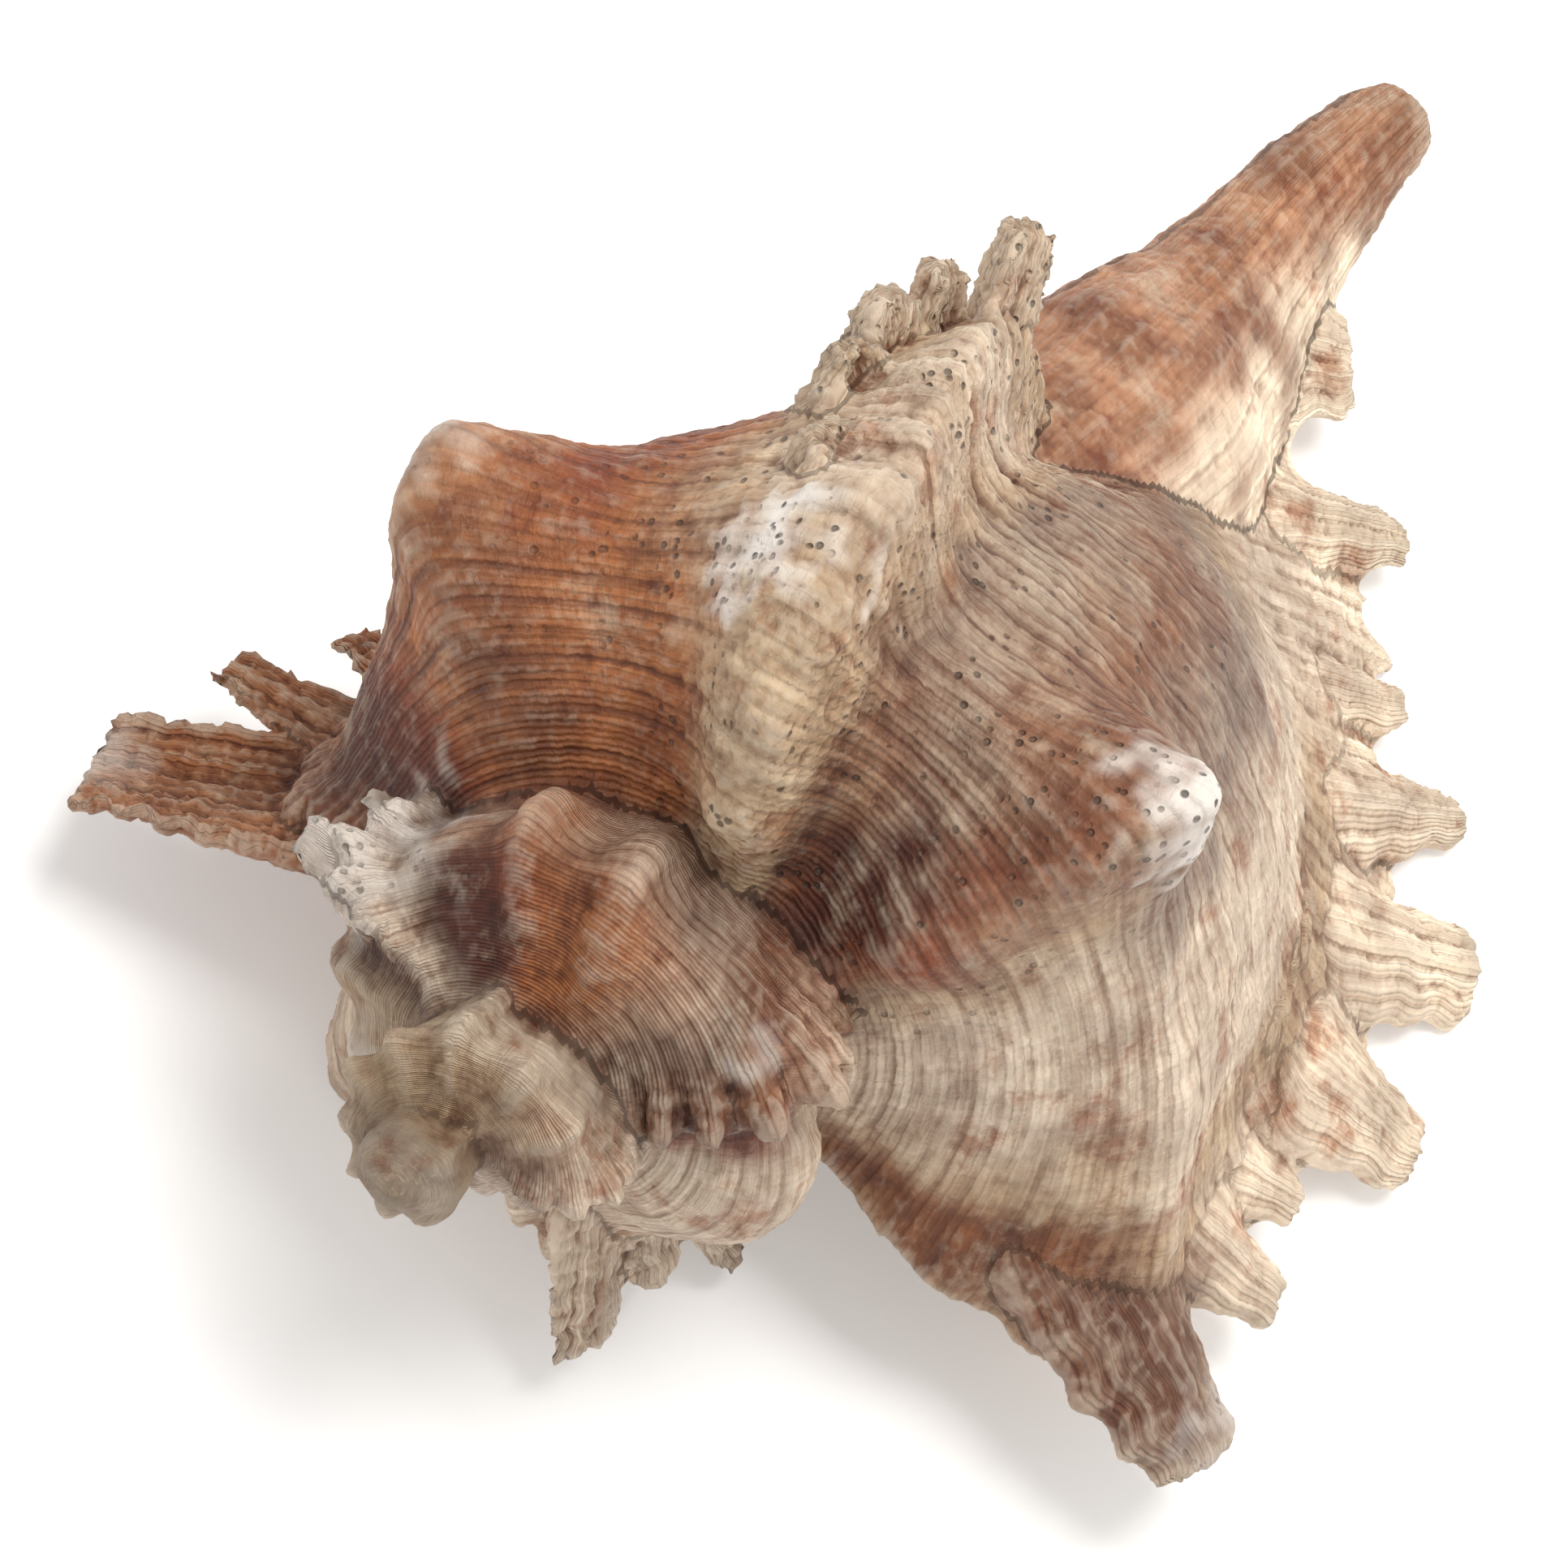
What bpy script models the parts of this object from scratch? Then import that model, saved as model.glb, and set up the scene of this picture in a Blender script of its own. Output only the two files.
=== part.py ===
"""Murex shell: one grown piece, with its mouth cavity open to the underside.

Worked in millimetres in the shell's own frame: the apex at the origin, +X along the coiling axis
towards the siphonal canal, +Z the back of the shell, the lip on the -Y side. The finished solid
is then turned to the way it lies on a table and written in metres, +Z up.
"""
import math

import bmesh
import bpy
import numpy as np
from mathutils import Matrix, Vector

for old in list(bpy.data.objects):
    bpy.data.objects.remove(old)

# ---- growth ----------------------------------------------------------------------------------
GROWTH_PER_TURN = 2.01          # every turn is about twice the size of the one before it
LIP_ANGLE = 11.0                # where the lip stands round the axis, degrees
OLDEST_STAGE = 1500.0           # how far the coil runs back from the lip, degrees
STAGE_STEP = 2.5
OUTLINE_POINTS = 84
SWEEP = 16.0                    # growth lines lean forward by this much at the suture, degrees
LIP_STRAIGHT = 0.3              # share of that lean which is left at the lip
LEAN_STAGE = 28.0               # the full lean is reached this far back from it, degrees
DRIFT = 2.0                     # the middle of the spire stands this far off the axis, mm
DRIFT_STAGE = 540.0
DRIFT_SPREAD = 160.0

# whorl outline at the lip: distance from the axis, distance along the axis
OUTLINE = ((0, 31), (15, 34.5), (24, 39), (31.5, 42), (38, 46), (42.3, 51.5), (43, 58), (41.5, 68),
           (38, 80), (33, 91), (26.5, 101), (19, 109), (13, 116), (8, 123), (0, 129))
SHOULDER_POINT = 5
SUTURE_POINT = 2
ARC_RADIUS = 44.0               # widest distance of the lip whorl from the axis

# ---- varices: stage, height at the suture, at the shoulder and at the base, width on the old side,
# on the new side, turn back at the base, depth of the flutes along the crest, how pointed it is ---
VARICES = ((0, 2.5, 8.0, 18.5, 8.5, 4.0, 0, 0.10, 1.15),
           (115, 4.0, 13.0, 14.0, 12.0, 5.5, 20, 0.10, 1.8),
           (224, 3.0, 7.0, 7.0, 9.0, 4.0, 0, 0.2, 1.5), (318, 3.0, 11.0, 13.0, 8.0, 5.0, 0, 0.25, 1.4),
           (409, 5.0, 9.0, 4.0, 15.0, 2.6, 0, 0.55, 1.5), (550, 6.0, 13.0, 9.0, 10.0, 3.5, 0, 0.35, 1.5),
           (646, 4.0, 9.0, 7.0, 8.0, 4.0, 0, 0.4, 1.6), (745, 8.0, 17.0, 12.0, 13.0, 2.8, 0, 0.35, 1.4),
           (850, 3.0, 8.0, 8.0, 8.0, 4.0, 0, 0.3, 2.0), (950, 3.0, 8.0, 8.0, 8.0, 4.0, 0, 0.3, 2.0),
           (1055, 3.0, 8.0, 8.0, 8.0, 4.0, 0, 0.3, 2.0), (1160, 3.0, 8.0, 8.0, 8.0, 4.0, 0, 0.3, 2.0))
FLUTE_PITCH = 6.4               # spacing of the flutes along a varix, mm
# knobs between the varices: stage, distance along the axis, height, length, breadth, how pointed
NODES = ((2, 53, 5.0, 20.0, 6.5, 1.3), (79, 52, 9.5, 8.0, 8.0, 1.5), (84, 45, 5.0, 9.0, 9.0, 2.0),
         (121, 49, 7.0, 8.0, 8.5, 1.7), (168, 54, 14.0, 9.5, 9.0, 1.6), (152, 63, 4.0, 32.0, 18.0, 2.0),
         (272, 52, 15.0, 12.0, 9.0, 2.0), (372, 52, 9.0, 24.0, 9.0, 2.0), (470, 56, 10.0, 6.0, 12.0, 2.0),
         (497, 56, 10.0, 5.5, 12.0, 2.0),
         (583, 50, 7.0, 6.0, 9.0, 2.0), (614, 50, 7.0, 6.0, 9.0, 2.0), (680, 50, 7.0, 6.0, 8.0, 2.0),
         (712, 50, 7.0, 6.0, 8.0, 2.0), (782, 50, 13.0, 6.0, 8.0, 1.6), (815, 50, 13.0, 6.0, 8.0, 1.6),
         (884, 50, 13.0, 6.0, 8.0, 1.6), (917, 50, 13.0, 6.0, 8.0, 1.6), (985, 50, 13.0, 6.0, 8.0, 1.6),
         (1020, 50, 13.0, 6.0, 8.0, 1.6))

# ---- spines: turn, base (r, a), tip (r, a), half width at base, at middle, at tip ------------
LIP_SPINES = (
    (0, 42, 50.5, 64.0, 46.5, 9.5, 8.0, 5.4), (0, 51, 61, 60.0, 64.5, 6.0, 4.4, 3.2),
    (0, 49, 69, 56.0, 73.5, 4.5, 3.0, 2.4), (0, 48, 82, 61.3, 87.5, 8.5, 5.6, 4.0),
    (0, 42, 93, 54.2, 105.5, 8.0, 5.8, 4.8), (0, 32, 100, 44.6, 116.5, 7.0, 4.6, 2.0),
    (0, 29, 103, 35.8, 112.0, 4.0, 2.8, 1.8), (0, 22, 106, 34.0, 119.0, 5.0, 3.2, 2.2),
    (0, 16, 106, 22.2, 111.5, 4.5, 3.2, 2.4), (0, 10, 115, 24.0, 131.5, 7.0, 4.2, 2.4),
    (0, 2, 132, 9.3, 140.0, 9.0, 6.5, 4.6))
SECOND_SPINES = (
    (6, 44, 58, 56.0, 59.0, 8.0, 6.5, 5.0), (12, 43, 69, 54.5, 73.5, 8.0, 6.0, 4.6),
    (16, 39, 81, 50.5, 87.0, 8.0, 6.0, 4.4), (18, 32, 93, 45.5, 100.5, 8.0, 5.6, 3.8),
    (15, 24, 104, 42.5, 114.5, 8.0, 6.2, 5.2))
THIRD_SPINES = (
    (0, 40, 52, 73.5, 42.0, 12.0, 10.5, 8.5), (0, 44, 62, 70.0, 66.0, 7.0, 5.0, 3.4),
    (0, 42, 74, 61.0, 80.0, 6.5, 4.2, 3.0), (0, 34, 90, 54.0, 101.0, 6.5, 3.8, 2.2),
    (0, 24, 103, 40.0, 116.0, 6.0, 3.6, 2.2))
FOURTH_SPINES = (
    (0, 38, 47, 63.5, 41.5, 11.0, 9.0, 8.0), (4, 40, 54, 60.0, 57.0, 8.0, 6.5, 5.0),
    (8, 42, 62, 66.0, 70.0, 8.0, 5.0, 3.4), (0, 41, 76, 64.0, 84.0, 7.0, 4.6, 3.8),
    (0, 34, 88, 52.0, 98.0, 7.0, 4.4, 2.8))
FIFTH_SPINES = ((0, 38, 50, 46.5, 47.0, 8.0, 6.0, 4.5), (0, 40, 62, 47.0, 64.0, 7.0, 4.5, 3.0),
                (0, 40, 72, 46.0, 74.0, 7.0, 4.5, 3.0))
SIXTH_SPINES = ((0, 38, 50, 64.0, 47.0, 12.0, 9.5, 7.0), (0, 41, 66, 60.0, 70.0, 9.0, 6.0, 4.5))
# spines of one varix: stage, list, depth of the fold against its half width
SPINE_SETS = ((0, LIP_SPINES, 0.42), (115, SECOND_SPINES, 0.7), (222, THIRD_SPINES, 0.5),
              (318, FOURTH_SPINES, 0.4), (409, FIFTH_SPINES, 0.4), (550, SIXTH_SPINES, 0.5))
SPINE_SHEET = 2.8               # thickness of the folded sheet a spine is made of
SPINE_ROOT = 1.6                # how much thicker the sheet is at the root, against itself
RAGGED_PITCH = 5.5              # spacing of the lobes along a spine's edges, mm
RAGGED_LOW = 0.30               # depth of the lobes on the edge towards the apex, against the width
RAGGED_HIGH = 0.10              # the same on the other edge
SPINE_LEAN = 0.04               # how far a spine curls back from the mouth, against its length
SPINE_BEND = 9.0                # radius of the bend in which a spine leaves the whorl, mm
ROOT_THIN = 0.45                # how thin the root starts, against the sheet
ROOT_HALF = 5.0                 # widest half width of a root, mm
SPINE_SET_BACK = 2.0            # a spine starts this many degrees behind its varix edge
SPINE_RINGS = 24
ROOT_RINGS = 9
SPINE_ACROSS = 13

# ---- siphonal canal: a along the axis, centre y, centre z, half width, half thickness --------
CANAL = ((48, 0, 0, 9, 9), (66, 2, -1.5, 12, 12), (88, 2, -1.5, 13, 13), (104, 0, -1, 14.5, 12.5),
         (114, -0.5, -0.5, 14.5, 10.5), (124, -0.5, -1.5, 12, 8), (133, 0, -2.2, 10, 6.5),
         (143, 1.4, -2.5, 8, 5.4), (152, 2.7, -1.8, 6.2, 4.6), (159, 3.5, -0.5, 5, 4.0),
         (163.5, 3.8, 0.6, 4.2, 3.4))
CANAL_RINGS = 70
CANAL_AROUND = 40

# ---- mouth cavity ----------------------------------------------------------------------------
MOUTH = ((25, 44.5), (32, 47.5), (36.5, 52), (38.7, 58), (38.4, 67), (35.4, 77), (30.8, 87),
         (24.5, 96), (18, 103), (12.5, 109), (9, 116), (6.2, 117), (6.6, 108), (7.4, 97),
         (8.2, 84), (9.6, 71), (12.5, 61), (17.5, 54), (22, 48))
MOUTH_POINTS = 72
MOUTH_STEPS = 60
MOUTH_AHEAD = -75.0             # the cutter runs from here, in the open air before the lip,
MOUTH_BACK = 215.0              # to here, behind the second varix, where the hollow closes
MOUTH_OPENS = 0.42              # how far it draws back from the pillar on its way out
MOUTH_NARROWS = 90.0
SIPHON = ((104, -11, 1.0, 4.0, 3.2), (112, -8.5, 0.6, 3.6, 2.6), (120, -5.5, -0.4, 3.0, 2.0),
          (128, -2.6, -1.6, 2.6, 1.6), (138, 0.2, -2.3, 2.4, 1.3), (150, 2.4, -2.1, 2.2, 1.1),
          (159, 3.5, -0.5, 2.1, 1.1), (172, 4.0, 2.6, 2.0, 1.1))
SIPHON_STEPS = 60
SIPHON_DROP = 18.0

# ---- finish ----------------------------------------------------------------------------------
SKIN_STEP = 0.85                # spacing of the skin laid over the joined growth, mm
FACE_BUDGET = 10400
MM = 0.001
REST_UP = (-0.213, 0.490, 0.845)  # this direction of the shell points up when it lies on its feet
FOOT_WEAR = 0.8                 # depth of the worn flats it stands on, mm


def spline(points, count):
    """Evenly spaced points on a smooth curve through the given ones."""
    pts = np.array(points, float)
    pad = np.vstack([2 * pts[0] - pts[1], pts, 2 * pts[-1] - pts[-2]])
    fine = []
    for i in range(1, len(pad) - 2):
        t = np.linspace(0, 1, 24, endpoint=False)[:, None]
        p0, p1, p2, p3 = pad[i - 1], pad[i], pad[i + 1], pad[i + 2]
        fine.append(0.5 * (2 * p1 + (p2 - p0) * t + (2 * p0 - 5 * p1 + 4 * p2 - p3) * t ** 2
                           + (3 * p1 - p0 - 3 * p2 + p3) * t ** 3))
    fine.append(pts[-1:])
    fine = np.vstack(fine)
    run = np.concatenate([[0], np.cumsum(np.linalg.norm(np.diff(fine, axis=0), axis=1))])
    want = np.linspace(0, run[-1], count)
    return np.column_stack([np.interp(want, run, fine[:, j]) for j in range(fine.shape[1])])


def growth(stage):
    return GROWTH_PER_TURN ** (-np.asarray(stage, float) / 360.0)


def drift(stage):
    """The middle turns of the spire stand a little to one side of the straight axis."""
    return DRIFT * np.exp(-((stage - DRIFT_STAGE) / DRIFT_SPREAD) ** 2)


def place(r, a, turn):
    """A point at distance r from the axis, a along it, turned by so many degrees."""
    psi = np.radians(turn)
    a, r, psi = np.broadcast_arrays(a, r, psi)
    return np.stack([a, -r * np.cos(psi), r * np.sin(psi)], axis=-1)


def mesh_object(name, verts, faces):
    mesh = bpy.data.meshes.new(name)
    mesh.from_pydata([tuple(v) for v in verts], [], faces)
    mesh.validate()
    mesh.update()
    obj = bpy.data.objects.new(name, mesh)
    bpy.context.scene.collection.objects.link(obj)
    return obj


def closed_sweep(name, rings):
    """A closed skin over a row of rings, each ring a closed loop of points."""
    rows, around = rings.shape[:2]
    verts = rings.reshape(-1, 3)
    faces = []
    for i in range(rows - 1):
        for j in range(around):
            k = (j + 1) % around
            faces.append((i * around + j, i * around + k, (i + 1) * around + k, (i + 1) * around + j))
    n = len(verts)
    verts = np.vstack([verts, rings[0].mean(axis=0), rings[-1].mean(axis=0)])
    base = (rows - 1) * around
    for j in range(around):
        k = (j + 1) % around
        faces.append((k, j, n))
        faces.append((base + j, base + k, n + 1))
    return mesh_object(name, verts, faces)


# ---- the coiled body -------------------------------------------------------------------------
outline = spline(OUTLINE, OUTLINE_POINTS)
along = np.gradient(outline, axis=0)
along /= np.linalg.norm(along, axis=1)[:, None]
outward = np.column_stack([along[:, 1], -along[:, 0]])
shoulder_row = int(np.argmin(np.linalg.norm(outline - np.array(OUTLINE[SHOULDER_POINT]), axis=1)))
suture_row = int(np.argmin(np.linalg.norm(outline - np.array(OUTLINE[SUTURE_POINT]), axis=1)))
rows = np.arange(OUTLINE_POINTS)
lean = np.clip((shoulder_row - rows) / (shoulder_row - suture_row), 0, 1.6) * SWEEP
open_skin = np.clip((rows - suture_row * 0.6) / (suture_row * 0.6), 0, 1)
open_skin *= np.clip((OUTLINE_POINTS - 1 - rows) / (OUTLINE_POINTS * 0.16), 0, 1)
toward_base = np.clip((rows - shoulder_row) / (OUTLINE_POINTS * 0.45), 0, 1)
up_ramp = np.clip((rows - suture_row) / (shoulder_row - suture_row), 0, 1)
row_run = np.concatenate([[0], np.cumsum(np.linalg.norm(np.diff(outline, axis=0), axis=1))])


def relief(stage):
    """Height of the varices and knobs over the plain whorl, at the size of the lip."""
    height = np.zeros((len(stage), OUTLINE_POINTS))
    flutes = np.cos(2 * math.pi * row_run / FLUTE_PITCH)
    for at, suture_tall, tall, base_tall, old_width, new_width, base_turn, fluted, power in VARICES:
        arc = np.radians(stage[:, None] - at - base_turn * toward_base[None, :]) * ARC_RADIUS
        width = np.where(arc > 0, old_width, new_width)
        crest = np.exp(-(np.abs(arc) / width) ** power)
        rise = suture_tall + (tall - suture_tall) * up_ramp
        rise = (rise + (base_tall - tall) * np.minimum(2 * toward_base, 1)) * open_skin
        height += rise[None, :] * crest * (1 + fluted * crest * flutes[None, :])
    for at, a, tall, length, breadth, power in NODES:
        arc = np.radians(stage - at) * ARC_RADIUS
        spread = np.exp(-np.abs((outline[:, 1] - a) / breadth) ** power) * open_skin
        height += (tall * np.exp(-np.abs(arc / length) ** power))[:, None] * spread[None, :]
    return height


stages = np.arange(0.0, OLDEST_STAGE + 0.1, STAGE_STEP)
size = growth(stages)[:, None]
raised = relief(stages)
body_r = (outline[None, :, 0] + raised * outward[None, :, 0]) * size
body_a = (outline[None, :, 1] + raised * outward[None, :, 1]) * size
late = LIP_STRAIGHT + (1 - LIP_STRAIGHT) * np.clip(stages / LEAN_STAGE, 0, 1)
body_turn = LIP_ANGLE + stages[:, None] - lean[None, :] * late[:, None]
body_points = place(body_r, body_a, body_turn)
body_points[:, :, 1] += drift(stages)[:, None]
growth_parts = [closed_sweep("whorls", body_points)]


# ---- spines: folded sheets, the fold open towards the mouth side -----------------------------
def spine(name, stage, arch, spec, seed):
    """One spine, standing in the plane of its varix and shrunk to the size the whorl had then."""
    turn, base_r, base_a, tip_r, tip_a, wide, middle, end = spec
    g = float(growth(stage))
    start, tip = np.array([base_r, base_a], float), np.array([tip_r, tip_a], float)
    length = np.linalg.norm(tip - start)
    axis = (tip - start) / length
    side = np.array([-axis[1], axis[0]])
    # the root runs along the whorl, then bends outward; the rest stands straight out
    bend = SPINE_BEND * (0.6 + 0.4 * wide / 8.0) * min(1.0, base_r / 25.0)
    angle = np.concatenate([np.linspace(0, math.pi / 2, ROOT_RINGS, endpoint=False),
                            np.full(SPINE_RINGS, math.pi / 2)])
    t = np.concatenate([np.zeros(ROOT_RINGS), np.linspace(0, 1, SPINE_RINGS)])
    along_axis = np.where(t > 0, t * length, -bend * np.cos(angle))
    ahead_by = bend * (np.sin(angle) - 1)
    root_half = min(0.8 * wide, ROOT_HALF)
    half = np.interp(t, (0, 0.45, 1), (wide, middle, end))
    half = np.where(t > 0, half, root_half + (wide - root_half) * np.sin(angle) ** 5)
    ragged = 0.5 + 0.5 * np.sin(2 * math.pi * (t * length / RAGGED_PITCH + seed * 0.37))
    low = half * (1 + RAGGED_LOW * t * (ragged - 0.3))
    high = half * (1 + RAGGED_HIGH * t * (0.5 - ragged))
    across = np.linspace(-1, 1, SPINE_ACROSS)
    fold = 1 - across ** 2
    grown = ROOT_THIN + (1 - ROOT_THIN) * np.sin(angle)
    stout = min(1.0, base_r / 20.0)
    depth = arch * half * np.clip(0.55 + t, 0, 1) * grown * stout
    sheet = SPINE_SHEET * (1 + SPINE_ROOT * stout * (1 - t) ** 2)
    sheet = np.minimum(sheet, 1.25 * half + 0.8) * grown
    curl = -SPINE_LEAN * length * t ** 2
    reach = np.where(across < 0, low[:, None], high[:, None]) * across
    back = -depth[:, None] * fold[None, :] - 0.5 * sheet[:, None]
    front = back + sheet[:, None] * (0.35 + 0.65 * np.sqrt(fold))[None, :]
    thick_ring = np.concatenate([back, front[:, ::-1]], axis=1)
    reach_ring = np.concatenate([reach, reach[:, ::-1]], axis=1)
    tangent_ring = (ahead_by + curl)[:, None] + thick_ring * np.sin(angle)[:, None]
    on_axis = along_axis[:, None] - thick_ring * np.cos(angle)[:, None]
    r = start[0] + axis[0] * on_axis + side[0] * reach_ring
    a = start[1] + axis[1] * on_axis + side[1] * reach_ring
    psi = math.radians(LIP_ANGLE + stage + turn)
    out = np.array([0.0, -math.cos(psi), math.sin(psi)])
    ahead = np.array([0.0, -math.sin(psi), -math.cos(psi)])
    ring = (a[..., None] * np.array([1.0, 0, 0]) + r[..., None] * out
            + tangent_ring[..., None] * ahead) * g
    ring[..., 1] += drift(stage)
    return closed_sweep(name, ring)


for stage, specs, arch in SPINE_SETS:
    for i, spec in enumerate(specs):
        growth_parts.append(spine(f"spine_{stage}_{i}", stage + SPINE_SET_BACK, arch, spec, i + stage))

# ---- pillar and siphonal canal ---------------------------------------------------------------
canal = spline(CANAL, CANAL_RINGS)
around = np.linspace(0, 2 * math.pi, CANAL_AROUND, endpoint=False)
canal_rings = np.stack([np.broadcast_to(canal[:, None, 0], (CANAL_RINGS, CANAL_AROUND)),
                        canal[:, None, 1] + canal[:, None, 3] * np.cos(around),
                        canal[:, None, 2] + canal[:, None, 4] * np.sin(around)], axis=-1)
growth_parts.append(closed_sweep("canal", canal_rings))

# ---- join everything that grew under one skin ------------------------------------------------
bpy.ops.object.select_all(action='DESELECT')
for obj in growth_parts:
    obj.select_set(True)
bpy.context.view_layer.objects.active = growth_parts[0]
bpy.ops.object.join()
shell = growth_parts[0]
shell.name = "murex_shell"
skin = shell.modifiers.new("skin", 'REMESH')
skin.mode = 'VOXEL'
skin.voxel_size = SKIN_STEP
bpy.ops.object.modifier_apply(modifier=skin.name)

# ---- hollow the mouth and open the siphon ----------------------------------------------------
mouth = spline(MOUTH + MOUTH[:1], MOUTH_POINTS + 1)[:-1]
mouth_stages = np.linspace(MOUTH_AHEAD, MOUTH_BACK, MOUTH_STEPS)
inner = np.clip((mouth_stages - MOUTH_NARROWS) / (MOUTH_BACK - MOUTH_NARROWS), 0, 1)
closing = np.sqrt(np.clip(1 - inner ** 2, 0.02, 1))
section = mouth.mean(axis=0) + (mouth - mouth.mean(axis=0)) * closing[:, None, None]
outer_r = mouth[:, 0].max()
opening = 1 - MOUTH_OPENS * np.clip(mouth_stages / MOUTH_AHEAD, 0, 1)
section[..., 0] = outer_r - (outer_r - section[..., 0]) * opening[:, None]
section *= growth(np.maximum(mouth_stages, 0))[:, None, None]
mouth_rings = place(section[..., 0], section[..., 1], LIP_ANGLE + mouth_stages[:, None])
hollow = closed_sweep("mouth", mouth_rings)

# the siphon is a round channel along the canal with a slit down to the underside
siphon_line = spline(SIPHON, SIPHON_STEPS)
bend = np.radians(np.linspace(-60, 240, 16))
bore_y = np.concatenate([siphon_line[:, 3:4] * np.cos(bend), -siphon_line[:, 4:5], siphon_line[:, 4:5]],
                        axis=1)
bore_z = np.concatenate([siphon_line[:, 3:4] * np.sin(bend),
                         np.full((SIPHON_STEPS, 2), -SIPHON_DROP)], axis=1)
siphon_rings = np.stack([np.broadcast_to(siphon_line[:, 0:1], bore_y.shape),
                         siphon_line[:, 1:2] + bore_y, siphon_line[:, 2:3] + bore_z], axis=-1)
siphon = closed_sweep("siphon", siphon_rings)

for cutter in (hollow, siphon):
    cut = shell.modifiers.new("cut", 'BOOLEAN')
    cut.operation = 'DIFFERENCE'
    cut.solver = 'MANIFOLD'
    cut.object = cutter
    bpy.context.view_layer.objects.active = shell
    bpy.ops.object.modifier_apply(modifier=cut.name)
    bpy.data.objects.remove(cutter)

# ---- keep the one grown body and bring it down to a workable number of faces -----------------
work = bmesh.new()
work.from_mesh(shell.data)
unseen = set(work.verts)
islands = []
while unseen:
    front = [unseen.pop()]
    island = list(front)
    while front:
        vert = front.pop()
        for edge in vert.link_edges:
            other = edge.other_vert(vert)
            if other in unseen:
                unseen.remove(other)
                front.append(other)
                island.append(other)
    islands.append(island)
islands.sort(key=len)
for island in islands[:-1]:
    bmesh.ops.delete(work, geom=island, context='VERTS')
bmesh.ops.triangulate(work, faces=work.faces)
face_count = len(work.faces)
work.to_mesh(shell.data)
work.free()
thin = shell.modifiers.new("thin", 'DECIMATE')
thin.ratio = FACE_BUDGET / face_count
bpy.context.view_layer.objects.active = shell
bpy.ops.object.modifier_apply(modifier=thin.name)

# ---- lie it down on its feet -----------------------------------------------------------------
up = Vector(REST_UP).normalized()
forward = (Vector((1, 0, 0)) - up * up.x).normalized()
turn = Matrix((forward, up.cross(forward), up)).to_4x4()
shell.data.transform(turn)
points = np.array([v.co for v in shell.data.vertices])
low, high = points.min(axis=0), points.max(axis=0)
shift = Vector((-(low[0] + high[0]) / 2, -(low[1] + high[1]) / 2, -low[2] - FOOT_WEAR))
shell.data.transform(Matrix.Translation(shift))
shell.data.transform(Matrix.Scale(MM, 4))

# the feet are worn flat where the shell stands
work = bmesh.new()
work.from_mesh(shell.data)
bmesh.ops.bisect_plane(work, geom=list(work.verts) + list(work.edges) + list(work.faces),
                       plane_co=(0, 0, 0), plane_no=(0, 0, -1), clear_outer=True, dist=1e-7)
rim = [e for e in work.edges if e.is_boundary]
bmesh.ops.holes_fill(work, edges=rim, sides=0)
bmesh.ops.triangulate(work, faces=[f for f in work.faces if len(f.verts) > 3])
bmesh.ops.dissolve_degenerate(work, edges=work.edges, dist=2e-6)
bmesh.ops.triangulate(work, faces=[f for f in work.faces if len(f.verts) > 3])
bmesh.ops.recalc_face_normals(work, faces=work.faces)
work.to_mesh(shell.data)
work.free()
shell.data.update()

# ---- grown lime, cream and tan ---------------------------------------------------------------
lime = bpy.data.materials.new("shell_lime")
lime.use_nodes = True
surface = lime.node_tree.nodes["Principled BSDF"]
surface.inputs["Base Color"].default_value = (0.52, 0.37, 0.25, 1.0)
surface.inputs["Roughness"].default_value = 0.62
surface.inputs["Metallic"].default_value = 0.0
shell.data.materials.clear()
shell.data.materials.append(lime)
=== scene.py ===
import math

import bmesh
import bpy
import numpy as np
from mathutils import Matrix, Vector, noise
from mathutils.bvhtree import BVHTree


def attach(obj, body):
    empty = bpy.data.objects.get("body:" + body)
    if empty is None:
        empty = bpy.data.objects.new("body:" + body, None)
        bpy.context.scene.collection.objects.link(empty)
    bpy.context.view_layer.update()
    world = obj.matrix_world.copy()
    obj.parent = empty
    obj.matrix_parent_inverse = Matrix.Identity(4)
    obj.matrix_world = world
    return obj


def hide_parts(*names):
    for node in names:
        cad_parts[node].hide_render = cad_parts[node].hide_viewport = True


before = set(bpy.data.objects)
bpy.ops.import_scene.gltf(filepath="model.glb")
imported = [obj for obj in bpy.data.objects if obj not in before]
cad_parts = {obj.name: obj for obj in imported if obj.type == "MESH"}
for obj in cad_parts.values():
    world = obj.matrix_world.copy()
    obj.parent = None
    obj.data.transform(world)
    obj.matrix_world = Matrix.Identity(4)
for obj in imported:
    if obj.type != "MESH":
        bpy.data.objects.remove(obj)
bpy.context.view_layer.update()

# =============================================================================================
# The shell: one coiled lime tube, laid down by the snail turn by turn round an axis. It grows
# here in millimetres in its own frame: tip of the spire at the origin, +X down the axis, +Z the
# back. Each newer turn is twice the size, with a thick varix every third of a turn.
# =============================================================================================
GROWTH_PER_TURN = 2.01          # every turn is about twice the size of the one before it
LIP_ANGLE = 11.0                # where the lip stands round the axis, degrees
OLDEST_STAGE = 1500.0           # how far the coil runs back from the lip, degrees
STAGE_STEP = 1.25               # degrees between two outlines of the tube
OUTLINE_POINTS = 170            # points round one outline
SWEEP = 16.0                    # growth lines lean forward this much at the suture, degrees
LIP_STRAIGHT = 0.3              # share of that lean left at the lip
LEAN_STAGE = 28.0               # the full lean is reached this far back, degrees
DRIFT = 2.0                     # the middle of the spire stands this far off the axis, mm
DRIFT_STAGE = 540.0             # where that is most, and over how many degrees it fades
DRIFT_SPREAD = 160.0
TIP_DRAWN = 4.5                 # the tip of the spire is drawn out by this much, mm
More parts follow.
